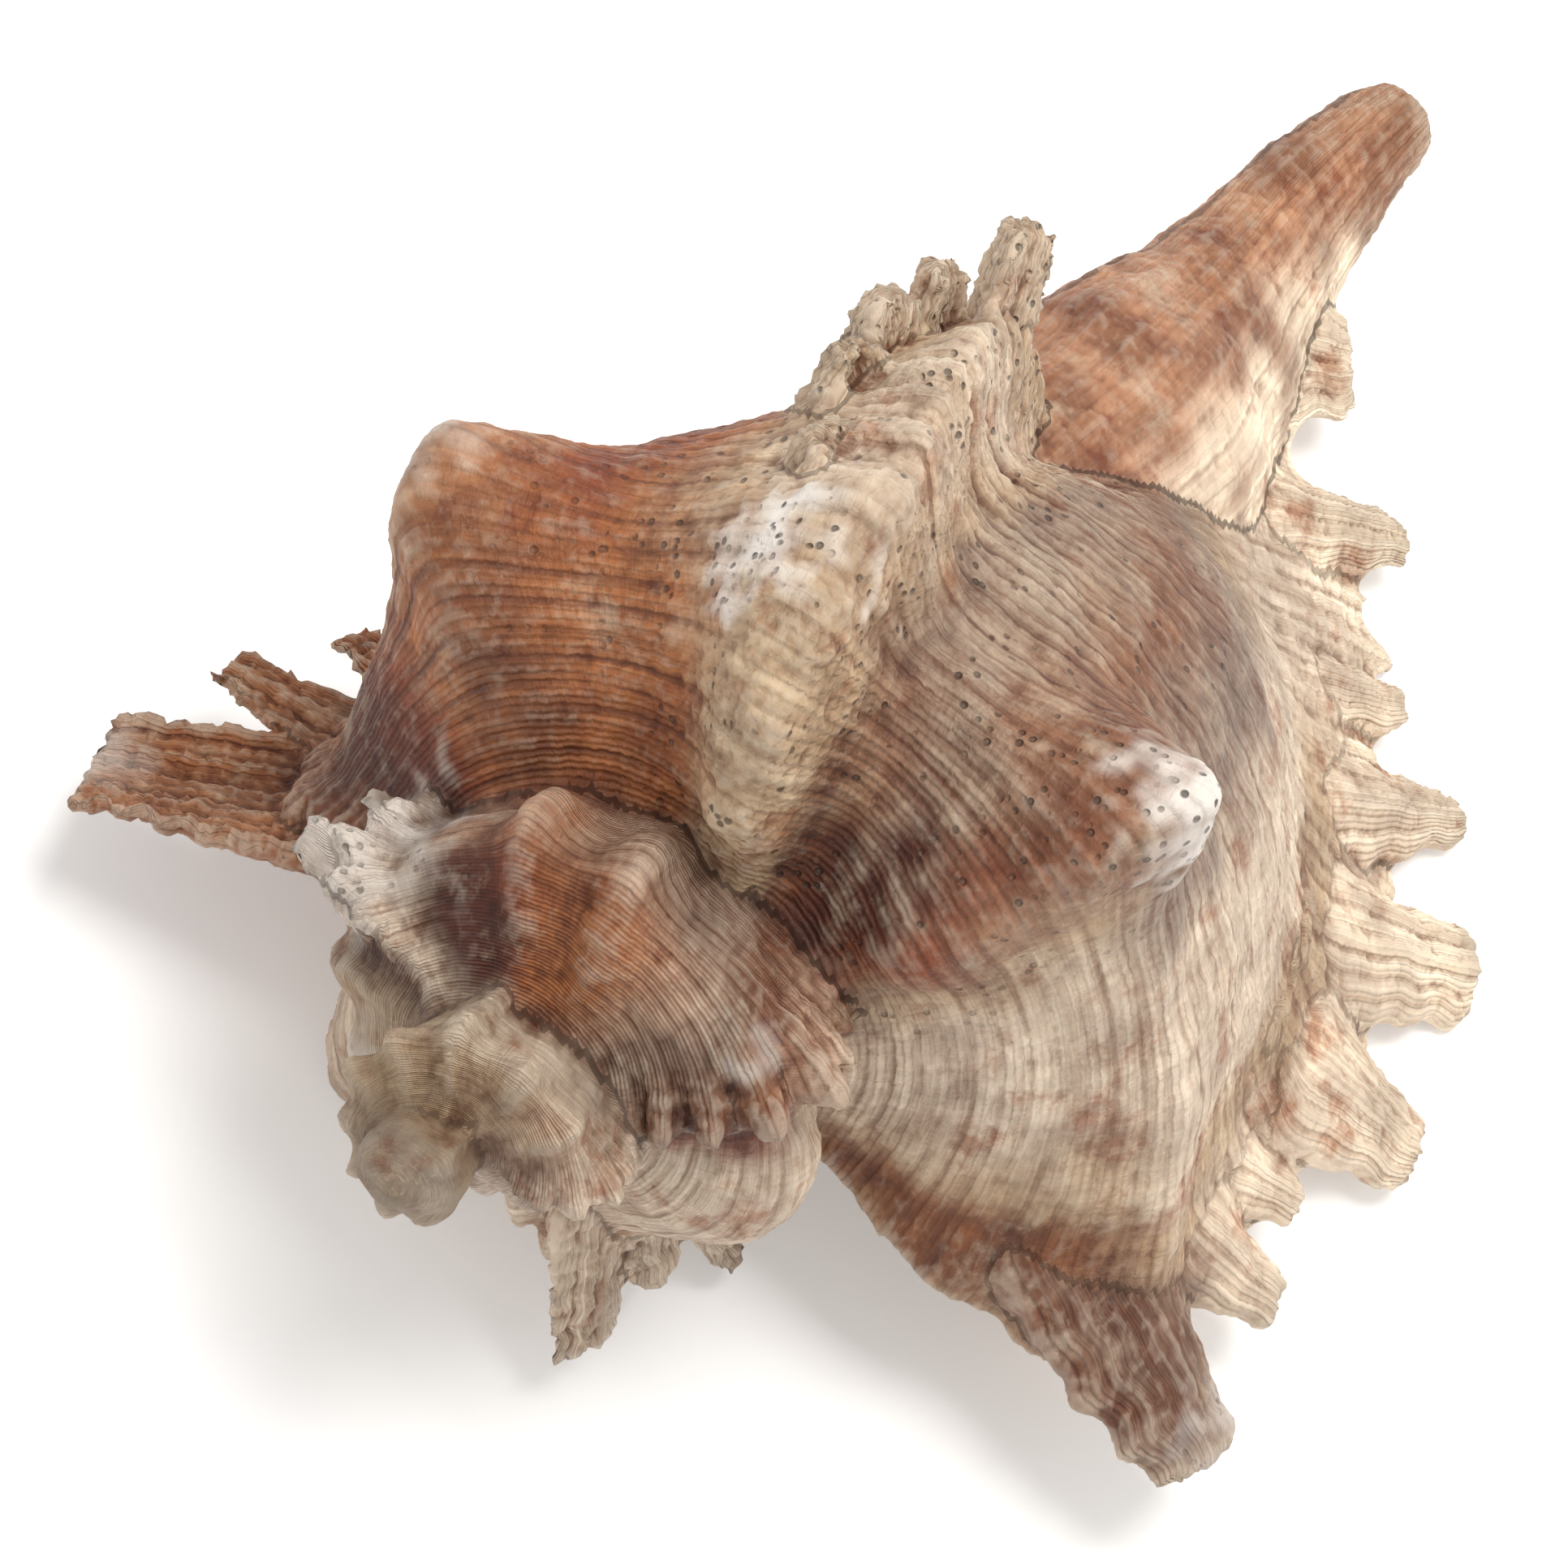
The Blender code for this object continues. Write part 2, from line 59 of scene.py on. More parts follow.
DRAWN_FROM = 640.0              # the drawing out starts this far back from the lip, degrees
DRAWN_OVER = 360.0              # and grows over so many
ARC_RADIUS = 44.0               # widest distance of the newest turn from the axis, mm

# whorl outline at the lip: distance from the axis, distance along it
OUTLINE = ((0, 31), (15, 34.5), (24, 39), (31.5, 42), (38, 46), (42.3, 51.5), (43, 58), (41.5, 68),
           (38, 80), (33, 91), (26.5, 101), (19, 109), (13, 116), (8, 123), (0, 129))
SUTURE_POINT = 2
SHOULDER_POINT = 5

# varices: stage, height at the suture, at the shoulder and at the base, width on the old side, on
# the new side, turn back at the base, depth of the flutes along the crest, how pointed the crest is
VARICES = ((0, 2.5, 8.0, 18.5, 8.5, 4.0, 0, 0.10, 1.15),
           (115, 4.0, 13.5, 14.0, 12.0, 4.4, 20, 0.10, 1.6),
           (224, 3.0, 7.0, 7.0, 9.0, 4.0, 0, 0.2, 1.5), (318, 3.0, 11.0, 13.0, 8.0, 5.0, 0, 0.25, 1.4),
           (409, 5.0, 9.0, 4.0, 15.0, 2.6, 0, 0.55, 1.5), (550, 6.0, 13.0, 9.0, 10.0, 3.5, 0, 0.35, 1.5),
           (646, 4.0, 9.0, 7.0, 8.0, 4.0, 0, 0.4, 1.6), (745, 8.0, 17.0, 12.0, 13.0, 2.8, 0, 0.35, 1.4),
           (850, 3.0, 8.0, 8.0, 8.0, 4.0, 0, 0.3, 2.0), (950, 3.0, 8.0, 8.0, 8.0, 4.0, 0, 0.3, 2.0),
           (1055, 3.0, 8.0, 8.0, 8.0, 4.0, 0, 0.3, 2.0), (1160, 3.0, 8.0, 8.0, 8.0, 4.0, 0, 0.3, 2.0))
FLUTE_PITCH = 6.4               # spacing of the flutes along a varix, mm
# knobs between the varices: stage, distance along the axis, height, length, breadth, how pointed
KNOBS = ((2, 53, 5.0, 20.0, 6.5, 1.3), (77, 54, 15.0, 7.5, 7.5, 1.5), (84, 45, 5.0, 9.0, 9.0, 2.0),
         (120, 46, 9.0, 7.0, 6.5, 1.7), (168, 54, 14.0, 9.5, 9.0, 1.6), (152, 63, 4.0, 32.0, 18.0, 2.0),
         (272, 52, 15.0, 12.0, 9.0, 2.0), (372, 52, 9.0, 24.0, 9.0, 2.0), (470, 56, 10.0, 6.0, 12.0, 2.0),
         (497, 56, 10.0, 5.5, 12.0, 2.0),
         (583, 50, 7.0, 6.0, 9.0, 2.0), (614, 50, 7.0, 6.0, 9.0, 2.0), (680, 50, 7.0, 6.0, 8.0, 2.0),
         (712, 50, 7.0, 6.0, 8.0, 2.0), (782, 50, 13.0, 6.0, 8.0, 1.6), (815, 50, 13.0, 6.0, 8.0, 1.6),
         (884, 50, 13.0, 6.0, 8.0, 1.6), (917, 50, 13.0, 6.0, 8.0, 1.6), (985, 50, 13.0, 6.0, 8.0, 1.6),
         (1020, 50, 13.0, 6.0, 8.0, 1.6))

CORD_PITCH = 2.25               # spacing of the spiral cords at the lip, mm


def spline(points, count):
    """Evenly spaced points on a smooth curve through the given ones."""
    pts = np.array(points, float)
    pad = np.vstack([2 * pts[0] - pts[1], pts, 2 * pts[-1] - pts[-2]])
    fine = []
    for i in range(1, len(pad) - 2):
        t = np.linspace(0, 1, 24, endpoint=False)[:, None]
        p0, p1, p2, p3 = pad[i - 1], pad[i], pad[i + 1], pad[i + 2]
        fine.append(0.5 * (2 * p1 + (p2 - p0) * t + (2 * p0 - 5 * p1 + 4 * p2 - p3) * t ** 2
                           + (3 * p1 - p0 - 3 * p2 + p3) * t ** 3))
    fine.append(pts[-1:])
    fine = np.vstack(fine)
    run = np.concatenate([[0], np.cumsum(np.linalg.norm(np.diff(fine, axis=0), axis=1))])
    want = np.linspace(0, run[-1], count)
    return np.column_stack([np.interp(want, run, fine[:, j]) for j in range(fine.shape[1])])


def growth(stage):
    """Size of the whorl at a stage, against the newest."""
    return GROWTH_PER_TURN ** (-np.asarray(stage, float) / 360.0)


def drift(stage):
    """The middle turns of the spire stand a little to one side of the straight axis."""
    return DRIFT * np.exp(-((stage - DRIFT_STAGE) / DRIFT_SPREAD) ** 2)


def drawn(stage):
    """The oldest turns are drawn out a little further along the axis."""
    return TIP_DRAWN * np.clip((np.asarray(stage, float) - DRAWN_FROM) / DRAWN_OVER, 0, 1)


def place(r, a, turn):
    """A point at distance r from the axis, a along it, turned by so many degrees."""
    psi = np.radians(turn)
    a, r, psi = np.broadcast_arrays(a, r, psi)
    return np.stack([a, -r * np.cos(psi), r * np.sin(psi)], axis=-1)


def mesh_object(name, verts, faces):
    """An object with these points and faces, put in the scene."""
    mesh = bpy.data.meshes.new(name)
    mesh.from_pydata(verts.tolist(), [], faces)
    mesh.update()
    obj = bpy.data.objects.new(name, mesh)
    bpy.context.scene.collection.objects.link(obj)
    return obj


def sweep_faces(rings, around):
    """Quads over a row of closed rings, then fans over the two ends."""
    i, j = np.meshgrid(np.arange(rings - 1), np.arange(around), indexing="ij")
    k = (j + 1) % around
    quads = np.stack([i * around + j, i * around + k, (i + 1) * around + k, (i + 1) * around + j],
                     axis=-1).reshape(-1, 4).tolist()
    n = rings * around
    last = (rings - 1) * around
    for j in range(around):
        k = (j + 1) % around
        quads.append([k, j, n])
        quads.append([last + j, last + k, n + 1])
    return quads


source_points, source_faces, source_marks = [], [], []
point_count = 0


def grow(name, rings, cord, stage, kind):
    """Makes one closed solid and keeps, for each of its points, which cord and stage it is on."""
    global point_count
    count, around = rings.shape[:2]
    verts = np.vstack([rings.reshape(-1, 3), rings[0].mean(axis=0), rings[-1].mean(axis=0)])
    faces = sweep_faces(count, around)
    cord, stage, kind = (np.broadcast_to(x, (count, around)).reshape(-1) for x in (cord, stage, kind))
    marks = np.stack([cord, stage, kind], axis=1)
    marks = np.vstack([marks, marks[:around].mean(axis=0), marks[-around:].mean(axis=0)])
    source_points.append(verts)
    source_marks.append(marks)
    source_faces.extend([[v + point_count for v in f] for f in faces])
    point_count += len(verts)
    return mesh_object(name, verts, faces)


# ---- the coiled body
outline = spline(OUTLINE, OUTLINE_POINTS)
along = np.gradient(outline, axis=0)
along /= np.linalg.norm(along, axis=1)[:, None]
outward = np.column_stack([along[:, 1], -along[:, 0]])
shoulder_row = int(np.argmin(np.linalg.norm(outline - np.array(OUTLINE[SHOULDER_POINT]), axis=1)))
suture_row = int(np.argmin(np.linalg.norm(outline - np.array(OUTLINE[SUTURE_POINT]), axis=1)))
rows = np.arange(OUTLINE_POINTS)
row_run = np.concatenate([[0], np.cumsum(np.linalg.norm(np.diff(outline, axis=0), axis=1))])
row_cord = (row_run - row_run[suture_row]) / CORD_PITCH
lean = np.clip((shoulder_row - rows) / (shoulder_row - suture_row), 0, 1.6) * SWEEP
open_skin = np.clip((rows - suture_row * 0.6) / (suture_row * 0.6), 0, 1)
open_skin *= np.clip((OUTLINE_POINTS - 1 - rows) / (OUTLINE_POINTS * 0.16), 0, 1)
toward_base = np.clip((rows - shoulder_row) / (OUTLINE_POINTS * 0.45), 0, 1)
up_ramp = np.clip((rows - suture_row) / (shoulder_row - suture_row), 0, 1)


def relief(stage):
    """Height of the varices and knobs over the plain whorl, at the size of the lip."""
    height = np.zeros((len(stage), OUTLINE_POINTS))
    flutes = np.cos(2 * math.pi * row_run / FLUTE_PITCH)
    for at, suture_tall, tall, base_tall, old_width, new_width, base_turn, fluted, power in VARICES:
        arc = np.radians(stage[:, None] - at - base_turn * toward_base[None, :]) * ARC_RADIUS
        width = np.where(arc > 0, old_width, new_width)
        crest = np.exp(-(np.abs(arc) / width) ** power)
        rise = suture_tall + (tall - suture_tall) * up_ramp
        rise = (rise + (base_tall - tall) * np.minimum(2 * toward_base, 1)) * open_skin
        height += rise[None, :] * crest * (1 + fluted * crest * flutes[None, :])
    for at, a, tall, length, breadth, power in KNOBS:
        arc = np.radians(stage - at) * ARC_RADIUS
        over_breadth = np.exp(-np.abs((outline[:, 1] - a) / breadth) ** power) * open_skin
        height += (tall * np.exp(-np.abs(arc / length) ** power))[:, None] * over_breadth[None, :]
    return height


stages = np.arange(0.0, OLDEST_STAGE + 0.1, STAGE_STEP)
size = growth(stages)[:, None]
raised = relief(stages)
body_r = (outline[None, :, 0] + raised * outward[None, :, 0]) * size
body_a = (outline[None, :, 1] + raised * outward[None, :, 1]) * size
late = LIP_STRAIGHT + (1 - LIP_STRAIGHT) * np.clip(stages / LEAN_STAGE, 0, 1)
body_points = place(body_r, body_a, LIP_ANGLE + stages[:, None] - lean[None, :] * late[:, None])
body_points[:, :, 1] += drift(stages)[:, None]
body_points[:, :, 0] -= drawn(stages)[:, None]
parts = [grow("whorls", body_points, row_cord[None, :], stages[:, None], 0.0)]


# =============================================================================================
# The spines: folded fronds of the same lime, thrown out by the edge of each varix while it was
# the lip. The fold opens towards the mouth side, and the root is grown into the whorl.
# =============================================================================================
# spines of each varix: turn, base (r, a), tip (r, a), half width at base, at middle, at tip
LIP_SPINES = (
    (0, 42, 50.5, 64.0, 46.5, 9.5, 8.0, 5.4), (0, 51, 61, 60.0, 64.5, 6.0, 4.4, 3.2),
    (0, 49, 69, 56.0, 73.5, 4.5, 3.0, 2.4), (0, 48, 82, 61.3, 87.5, 8.5, 5.6, 4.0),
    (0, 42, 93, 54.2, 105.5, 8.0, 5.8, 4.8), (0, 32, 100, 44.6, 116.5, 7.0, 4.6, 2.0),
    (0, 29, 103, 35.8, 112.0, 4.0, 2.8, 1.8), (0, 22, 106, 34.0, 119.0, 5.0, 3.2, 2.2),
    (0, 16, 106, 22.2, 111.5, 4.5, 3.2, 2.4), (0, 10, 115, 24.0, 131.5, 7.0, 4.2, 2.4),
    (0, 2, 132, 9.3, 140.0, 9.0, 6.5, 4.6))
SECOND_SPINES = (
    (6, 44, 58, 56.0, 59.0, 8.0, 6.5, 5.0), (12, 43, 69, 54.5, 73.5, 8.0, 6.0, 4.6),
    (16, 39, 81, 50.5, 87.0, 8.0, 6.0, 4.4), (18, 32, 93, 45.5, 100.5, 8.0, 5.6, 3.8),
    (15, 24, 104, 42.5, 114.5, 8.0, 6.2, 5.2))
THIRD_SPINES = (
    (0, 40, 52, 73.5, 42.0, 12.0, 10.5, 8.5), (0, 44, 62, 70.0, 66.0, 7.0, 5.0, 3.4),
    (0, 42, 74, 61.0, 80.0, 6.5, 4.2, 3.0), (0, 34, 90, 54.0, 101.0, 6.5, 3.8, 2.2),
    (0, 24, 103, 40.0, 116.0, 6.0, 3.6, 2.2))
FOURTH_SPINES = (
    (0, 38, 47, 63.5, 41.5, 11.0, 9.0, 8.0), (4, 40, 54, 60.0, 57.0, 8.0, 6.5, 5.0),
    (8, 42, 62, 66.0, 70.0, 8.0, 5.0, 3.4), (0, 41, 76, 64.0, 84.0, 7.0, 4.6, 3.8),
    (0, 34, 88, 52.0, 98.0, 7.0, 4.4, 2.8))
FIFTH_SPINES = ((0, 38, 50, 46.5, 47.0, 8.0, 6.0, 4.5), (0, 40, 62, 47.0, 64.0, 7.0, 4.5, 3.0),
                (0, 40, 72, 46.0, 74.0, 7.0, 4.5, 3.0))
SIXTH_SPINES = ((0, 38, 50, 64.0, 47.0, 12.0, 9.5, 7.0), (0, 41, 66, 60.0, 70.0, 9.0, 6.0, 4.5))
# stage of the varix, its spines, depth of the fold against the half width
SPINE_SETS = ((0, LIP_SPINES, 0.42), (115, SECOND_SPINES, 0.7), (222, THIRD_SPINES, 0.5),
              (318, FOURTH_SPINES, 0.4), (409, FIFTH_SPINES, 0.4), (550, SIXTH_SPINES, 0.5))
SPINE_SHEET = 2.8               # thickness of the folded sheet, mm
SPINE_ROOT = 1.6                # how much thicker it is at the root, against itself
RAGGED_PITCH = 5.5              # spacing of the lobes along the edges, mm
RAGGED_LOW = 0.30               # depth of the lobes on the edge towards the spire
RAGGED_HIGH = 0.10              # and on the other edge, both against the width
SPINE_LEAN = 0.04               # how far a spine curls back, against its length
SPINE_BEND = 9.0                # radius of the bend in which it leaves the whorl, mm
ROOT_RINGS = 22                 # rings along the root
ROOT_THIN = 0.45                # how thin the root starts, against the sheet
ROOT_HALF = 5.0                 # widest half width of a root, mm
SPINE_SET_BACK = 2.0            # a spine starts this far behind its varix edge, degrees
SPINE_RINGS = 60                # rings along the rest
SPINE_ACROSS = 31               # points across the sheet


def spine(name, stage, arch, spec, seed):
    """One spine, standing in the plane of its varix and shrunk to the size the whorl had then."""
    turn, base_r, base_a, tip_r, tip_a, wide, middle, end = spec
    g = float(growth(stage))
    start, tip = np.array([base_r, base_a], float), np.array([tip_r, tip_a], float)
    length = np.linalg.norm(tip - start)
    axis = (tip - start) / length
    side = np.array([-axis[1], axis[0]])
    # the root runs along the whorl, then bends outward; the rest stands straight out
    bend = SPINE_BEND * (0.6 + 0.4 * wide / 8.0) * min(1.0, base_r / 25.0)
    angle = np.concatenate([np.linspace(0, math.pi / 2, ROOT_RINGS, endpoint=False),
                            np.full(SPINE_RINGS, math.pi / 2)])
    t = np.concatenate([np.zeros(ROOT_RINGS), np.linspace(0, 1, SPINE_RINGS)])
    along_axis = np.where(t > 0, t * length, -bend * np.cos(angle))
    ahead_by = bend * (np.sin(angle) - 1)
    root_half = min(0.8 * wide, ROOT_HALF)
    half = np.interp(t, (0, 0.45, 1), (wide, middle, end))
    half = np.where(t > 0, half, root_half + (wide - root_half) * np.sin(angle) ** 5)
    ragged = 0.5 + 0.5 * np.sin(2 * math.pi * (t * length / RAGGED_PITCH + seed * 0.37))
    low = half * (1 + RAGGED_LOW * t * (ragged - 0.3))
    high = half * (1 + RAGGED_HIGH * t * (0.5 - ragged))
    across = np.linspace(-1, 1, SPINE_ACROSS)
    fold = 1 - across ** 2
    grown = ROOT_THIN + (1 - ROOT_THIN) * np.sin(angle)
    stout = min(1.0, base_r / 20.0)
    depth = arch * half * np.clip(0.55 + t, 0, 1) * grown * stout
    sheet = SPINE_SHEET * (1 + SPINE_ROOT * stout * (1 - t) ** 2)
    sheet = np.minimum(sheet, 1.25 * half + 0.8) * grown
    curl = -SPINE_LEAN * length * t ** 2
    reach = np.where(across < 0, low[:, None], high[:, None]) * across
    back = -depth[:, None] * fold[None, :] - 0.5 * sheet[:, None]
    front = back + sheet[:, None] * (0.35 + 0.65 * np.sqrt(fold))[None, :]
    thick_ring = np.concatenate([back, front[:, ::-1]], axis=1)
    reach_ring = np.concatenate([reach, reach[:, ::-1]], axis=1)
    tangent_ring = (ahead_by + curl)[:, None] + thick_ring * np.sin(angle)[:, None]
    on_axis = along_axis[:, None] - thick_ring * np.cos(angle)[:, None]
    r = start[0] + axis[0] * on_axis + side[0] * reach_ring
    a = start[1] + axis[1] * on_axis + side[1] * reach_ring
    psi = math.radians(LIP_ANGLE + stage + turn)
    out = np.array([0.0, -math.cos(psi), math.sin(psi)])
    ahead = np.array([0.0, -math.sin(psi), -math.cos(psi)])
    ring = (a[..., None] * np.array([1.0, 0, 0]) + r[..., None] * out
            + tangent_ring[..., None] * ahead) * g
    ring[..., 1] += drift(stage)
    root_row = int(np.argmin(np.linalg.norm(outline - start, axis=1)))
    fan = row_cord[root_row] + np.concatenate([across, across[::-1]])[None, :] * (wide / CORD_PITCH)
    older = stage + np.degrees(-ahead_by / ARC_RADIUS)
    return grow(name, ring, fan, older[:, None], 1.0 + 0.999 * t[:, None])


for stage, specs, arch in SPINE_SETS:
    for i, spec in enumerate(specs):
        parts.append(spine(f"spine_{stage}_{i}", stage + SPINE_SET_BACK, arch, spec, i + stage))

# =============================================================================================
# The siphonal canal: the pillar of the coil, run out below the mouth into a broad flattened
# tube. It is the same lime, and narrows to a blunt tip.
# =============================================================================================
# place along the axis, centre y, centre z, half width, half thickness
CANAL = ((48, 0, 0, 9, 9), (66, 2, -1.5, 12, 12), (88, 2, -1.5, 13, 13), (104, 0, -1, 14.5, 12.5),
         (114, -0.5, -0.5, 14.5, 10.5), (124, -0.5, -1.5, 12, 8), (133, 0, -2.2, 10, 6.5),
         (143, 1.4, -2.5, 8, 5.4), (152, 2.7, -1.8, 6.2, 4.6), (159, 3.5, -0.5, 5, 4.0),
         (163.5, 3.8, 0.6, 4.2, 3.4))
CANAL_RINGS = 150               # rings along the canal
CANAL_AROUND = 90               # points round it
CANAL_CORDS = 24                # cords round it
canal = spline(CANAL, CANAL_RINGS)
around = np.linspace(0, 2 * math.pi, CANAL_AROUND, endpoint=False)
canal_rings = np.stack([np.broadcast_to(canal[:, None, 0], (CANAL_RINGS, CANAL_AROUND)),
                        canal[:, None, 1] + canal[:, None, 3] * np.cos(around),
                        canal[:, None, 2] + canal[:, None, 4] * np.sin(around)], axis=-1)
parts.append(grow("canal", canal_rings, (around * CANAL_CORDS / (2 * math.pi))[None, :], 0.0, 2.5))

# =============================================================================================
# One skin: the whorls, spines and canal are a single growth, so they are joined under one skin
# before the mouth is opened in it.
# =============================================================================================
SKIN_STEP = 0.62                # spacing of the first skin, mm
shell = parts[0]
with bpy.context.temp_override(active_object=shell, selected_editable_objects=parts,
                               selected_objects=parts, object=shell):
    bpy.ops.object.join()
bpy.context.view_layer.objects.active = shell
shell.name = "shell"


def settle(kind, **settings):
    """Adds a modifier and makes its result the mesh itself."""
    mod = shell.modifiers.new("work", kind)
    for key, value in settings.items():
        setattr(mod, key, value)
    with bpy.context.temp_override(object=shell, active_object=shell):
        bpy.ops.object.modifier_apply(modifier=mod.name)


settle('REMESH', mode='VOXEL', voxel_size=SKIN_STEP)

# =============================================================================================
# The mouth: the hollow the snail lived in, wide at the lip and winding back round the pillar,
# with the siphon running on from it down the canal as a slit.
# =============================================================================================
# outline of the hollow at the lip: distance from the axis, distance along it
MOUTH = ((25, 44.5), (32, 47.5), (36.5, 52), (38.7, 58), (38.4, 67), (35.4, 77), (30.8, 87),
         (24.5, 96), (18, 103), (12.5, 109), (9, 116), (6.2, 117), (6.6, 108), (7.4, 97),
         (8.2, 84), (9.6, 71), (12.5, 61), (17.5, 54), (22, 48))
MOUTH_POINTS = 130              # points round the hollow
MOUTH_STEPS = 160               # rings along it
MOUTH_AHEAD = -75.0             # the hollow starts in the open before the lip, degrees
MOUTH_BACK = 215.0              # and closes this far behind it
MOUTH_OPENS = 0.42              # how far it draws back from the pillar on its way out
MOUTH_NARROWS = 90.0            # where it starts to close, degrees behind the lip
MOUTH_FLARE = 0.10              # how much the rim flares
MOUTH_FLARE_STAGE = 6.0         # and over how many degrees
# the siphon: place along the axis, centre y, centre z, radius of the bore, half width of the slit
SIPHON = ((104, -11, 1.0, 4.0, 3.2), (112, -8.5, 0.6, 3.6, 2.6), (120, -5.5, -0.4, 3.0, 2.0),
          (128, -2.6, -1.6, 2.6, 1.6), (138, 0.2, -2.3, 2.4, 1.3), (150, 2.4, -2.1, 2.2, 1.1),
          (159, 3.5, -0.5, 2.1, 1.1), (172, 4.0, 2.6, 2.0, 1.1))
SIPHON_STEPS = 120              # rings along the siphon
SIPHON_DROP = 18.0              # the slit runs this far down to the underside, mm
mouth = spline(MOUTH + MOUTH[:1], MOUTH_POINTS + 1)[:-1]
mouth_stages = np.linspace(MOUTH_AHEAD, MOUTH_BACK, MOUTH_STEPS)
inner = np.clip((mouth_stages - MOUTH_NARROWS) / (MOUTH_BACK - MOUTH_NARROWS), 0, 1)
closing = np.sqrt(np.clip(1 - inner ** 2, 0.02, 1))
flare = 1 + MOUTH_FLARE * np.exp(-(np.maximum(mouth_stages, 0) / MOUTH_FLARE_STAGE) ** 2)
section = mouth.mean(axis=0) + (mouth - mouth.mean(axis=0)) * (closing * flare)[:, None, None]
outer_r = section[..., 0].max(axis=1)[:, None]
opening = 1 - MOUTH_OPENS * np.clip(mouth_stages / MOUTH_AHEAD, 0, 1)
section[..., 0] = outer_r - (outer_r - section[..., 0]) * opening[:, None]
section *= growth(np.maximum(mouth_stages, 0))[:, None, None]
mouth_rings = place(section[..., 0], section[..., 1], LIP_ANGLE + mouth_stages[:, None])
siphon_line = spline(SIPHON, SIPHON_STEPS)
round_bore = np.radians(np.linspace(-60, 240, 28))
bore_y = np.concatenate([siphon_line[:, 3:4] * np.cos(round_bore),
                         -siphon_line[:, 4:5], siphon_line[:, 4:5]], axis=1)
bore_z = np.concatenate([siphon_line[:, 3:4] * np.sin(round_bore),
                         np.full((SIPHON_STEPS, 2), -SIPHON_DROP)], axis=1)
siphon_rings = np.stack([np.broadcast_to(siphon_line[:, 0:1], bore_y.shape),
                         siphon_line[:, 1:2] + bore_y, siphon_line[:, 2:3] + bore_z], axis=-1)
hollow_trees = []
for name, rings in (("mouth", mouth_rings), ("siphon", siphon_rings)):
    verts = np.vstack([rings.reshape(-1, 3), rings[0].mean(axis=0), rings[-1].mean(axis=0)])
    faces = sweep_faces(*rings.shape[:2])
    hollow_trees.append(BVHTree.FromPolygons(verts.tolist(), faces))
    cutter = mesh_object(name, verts, faces)
    settle('BOOLEAN', operation='DIFFERENCE', solver='MANIFOLD', object=cutter)
    bpy.data.objects.remove(cutter)
FINE_STEP = 0.55                # spacing of the finished skin, mm
settle('REMESH', mode='VOXEL', voxel_size=FINE_STEP)
settle('SMOOTH', factor=0.5, iterations=2)

# ---- drop any crumbs the cutting left loose
work = bmesh.new()
work.from_mesh(shell.data)
unseen = set(work.verts)
islands = []
while unseen:
    front = [unseen.pop()]
    island = list(front)
    while front:
        vert = front.pop()
        for edge in vert.link_edges:
            other = edge.other_vert(vert)
            if other in unseen:
                unseen.remove(other)
                front.append(other)
                island.append(other)
    islands.append(island)
islands.sort(key=len)
for island in islands[:-1]:
    bmesh.ops.delete(work, geom=island, context='VERTS')
work.to_mesh(shell.data)
work.free()

# =============================================================================================
# Cords and wear: low spiral ribs run round every whorl and out along the spines, crossed by
# growth lines, and the shell has lain about long enough to be worn and pitted.
# =============================================================================================
# each point of the skin takes the cord, the stage and the kind of growth that lie nearest to it:
# kind 0 is whorl, 1 to 2 is spine from root to tip, 2.5 is canal
SPINE_KIND = 1.0
CANAL_KIND = 2.2
HOLLOW_REACH = 0.45             # the mouth's wall lies within this of the cut, mm
mesh = shell.data
count = len(mesh.vertices)
points = np.empty(count * 3)
mesh.vertices.foreach_get("co", points)
points = points.reshape(-1, 3)
normals = np.empty(count * 3)
mesh.vertices.foreach_get("normal", normals)
normals = normals.reshape(-1, 3)
all_points = np.vstack(source_points)
all_marks = np.vstack(source_marks)
grown_tree = BVHTree.FromPolygons(all_points.tolist(), source_faces)
cord, stage, kind = np.empty(count), np.empty(count), np.empty(count)
inside = np.zeros(count)
for n in range(count):
    p = Vector(points[n])
    spot, _, face, far = grown_tree.find_nearest(p)
    corners = source_faces[face]
    gaps = np.linalg.norm(all_points[corners] - np.array(spot), axis=1)
    weight = 1.0 / (gaps + 1e-4) ** 2
    weight /= weight.sum()
    cord[n], stage[n], kind[n] = weight @ all_marks[corners]
    hollow = min(wall.find_nearest(p, 3.0)[3] or 9.0 for wall in hollow_trees)
    inside[n] = 1.0 if hollow < min(far, HOLLOW_REACH) else 0.0

# unevenness in lumps of about 6, 2.4 and 1 mm
wear_field = np.array([noise.noise(Vector(p) * 0.16) for p in points])
fine_field = np.array([noise.noise(Vector(p) * 0.42 + Vector((7.0, 3.0, 1.0))) for p in points])
tiny_field = np.array([noise.noise(Vector(p) * 1.15 + Vector((2.0, 9.0, 4.0))) for p in points])
is_spine = (kind >= SPINE_KIND) & (kind < CANAL_KIND)
on_spine = np.where(is_spine, kind - SPINE_KIND, 0.0)
is_canal = kind > CANAL_KIND
scale_here = growth(stage)
outer = 1.0 - inside

edges = np.empty(len(mesh.edges) * 2, int)
mesh.edges.foreach_get("vertices", edges)
edges = edges.reshape(-1, 2)
valence = np.bincount(edges.reshape(-1), minlength=count).clip(1)


def spread(values, rounds):
    """Evens a value out over neighbouring points of the skin, so many times."""
    for _ in range(rounds):
        total = np.bincount(edges[:, 0], values[edges[:, 1]], count)
        total += np.bincount(edges[:, 1], values[edges[:, 0]], count)
        values = 0.5 * values + 0.5 * total / valence
    return values


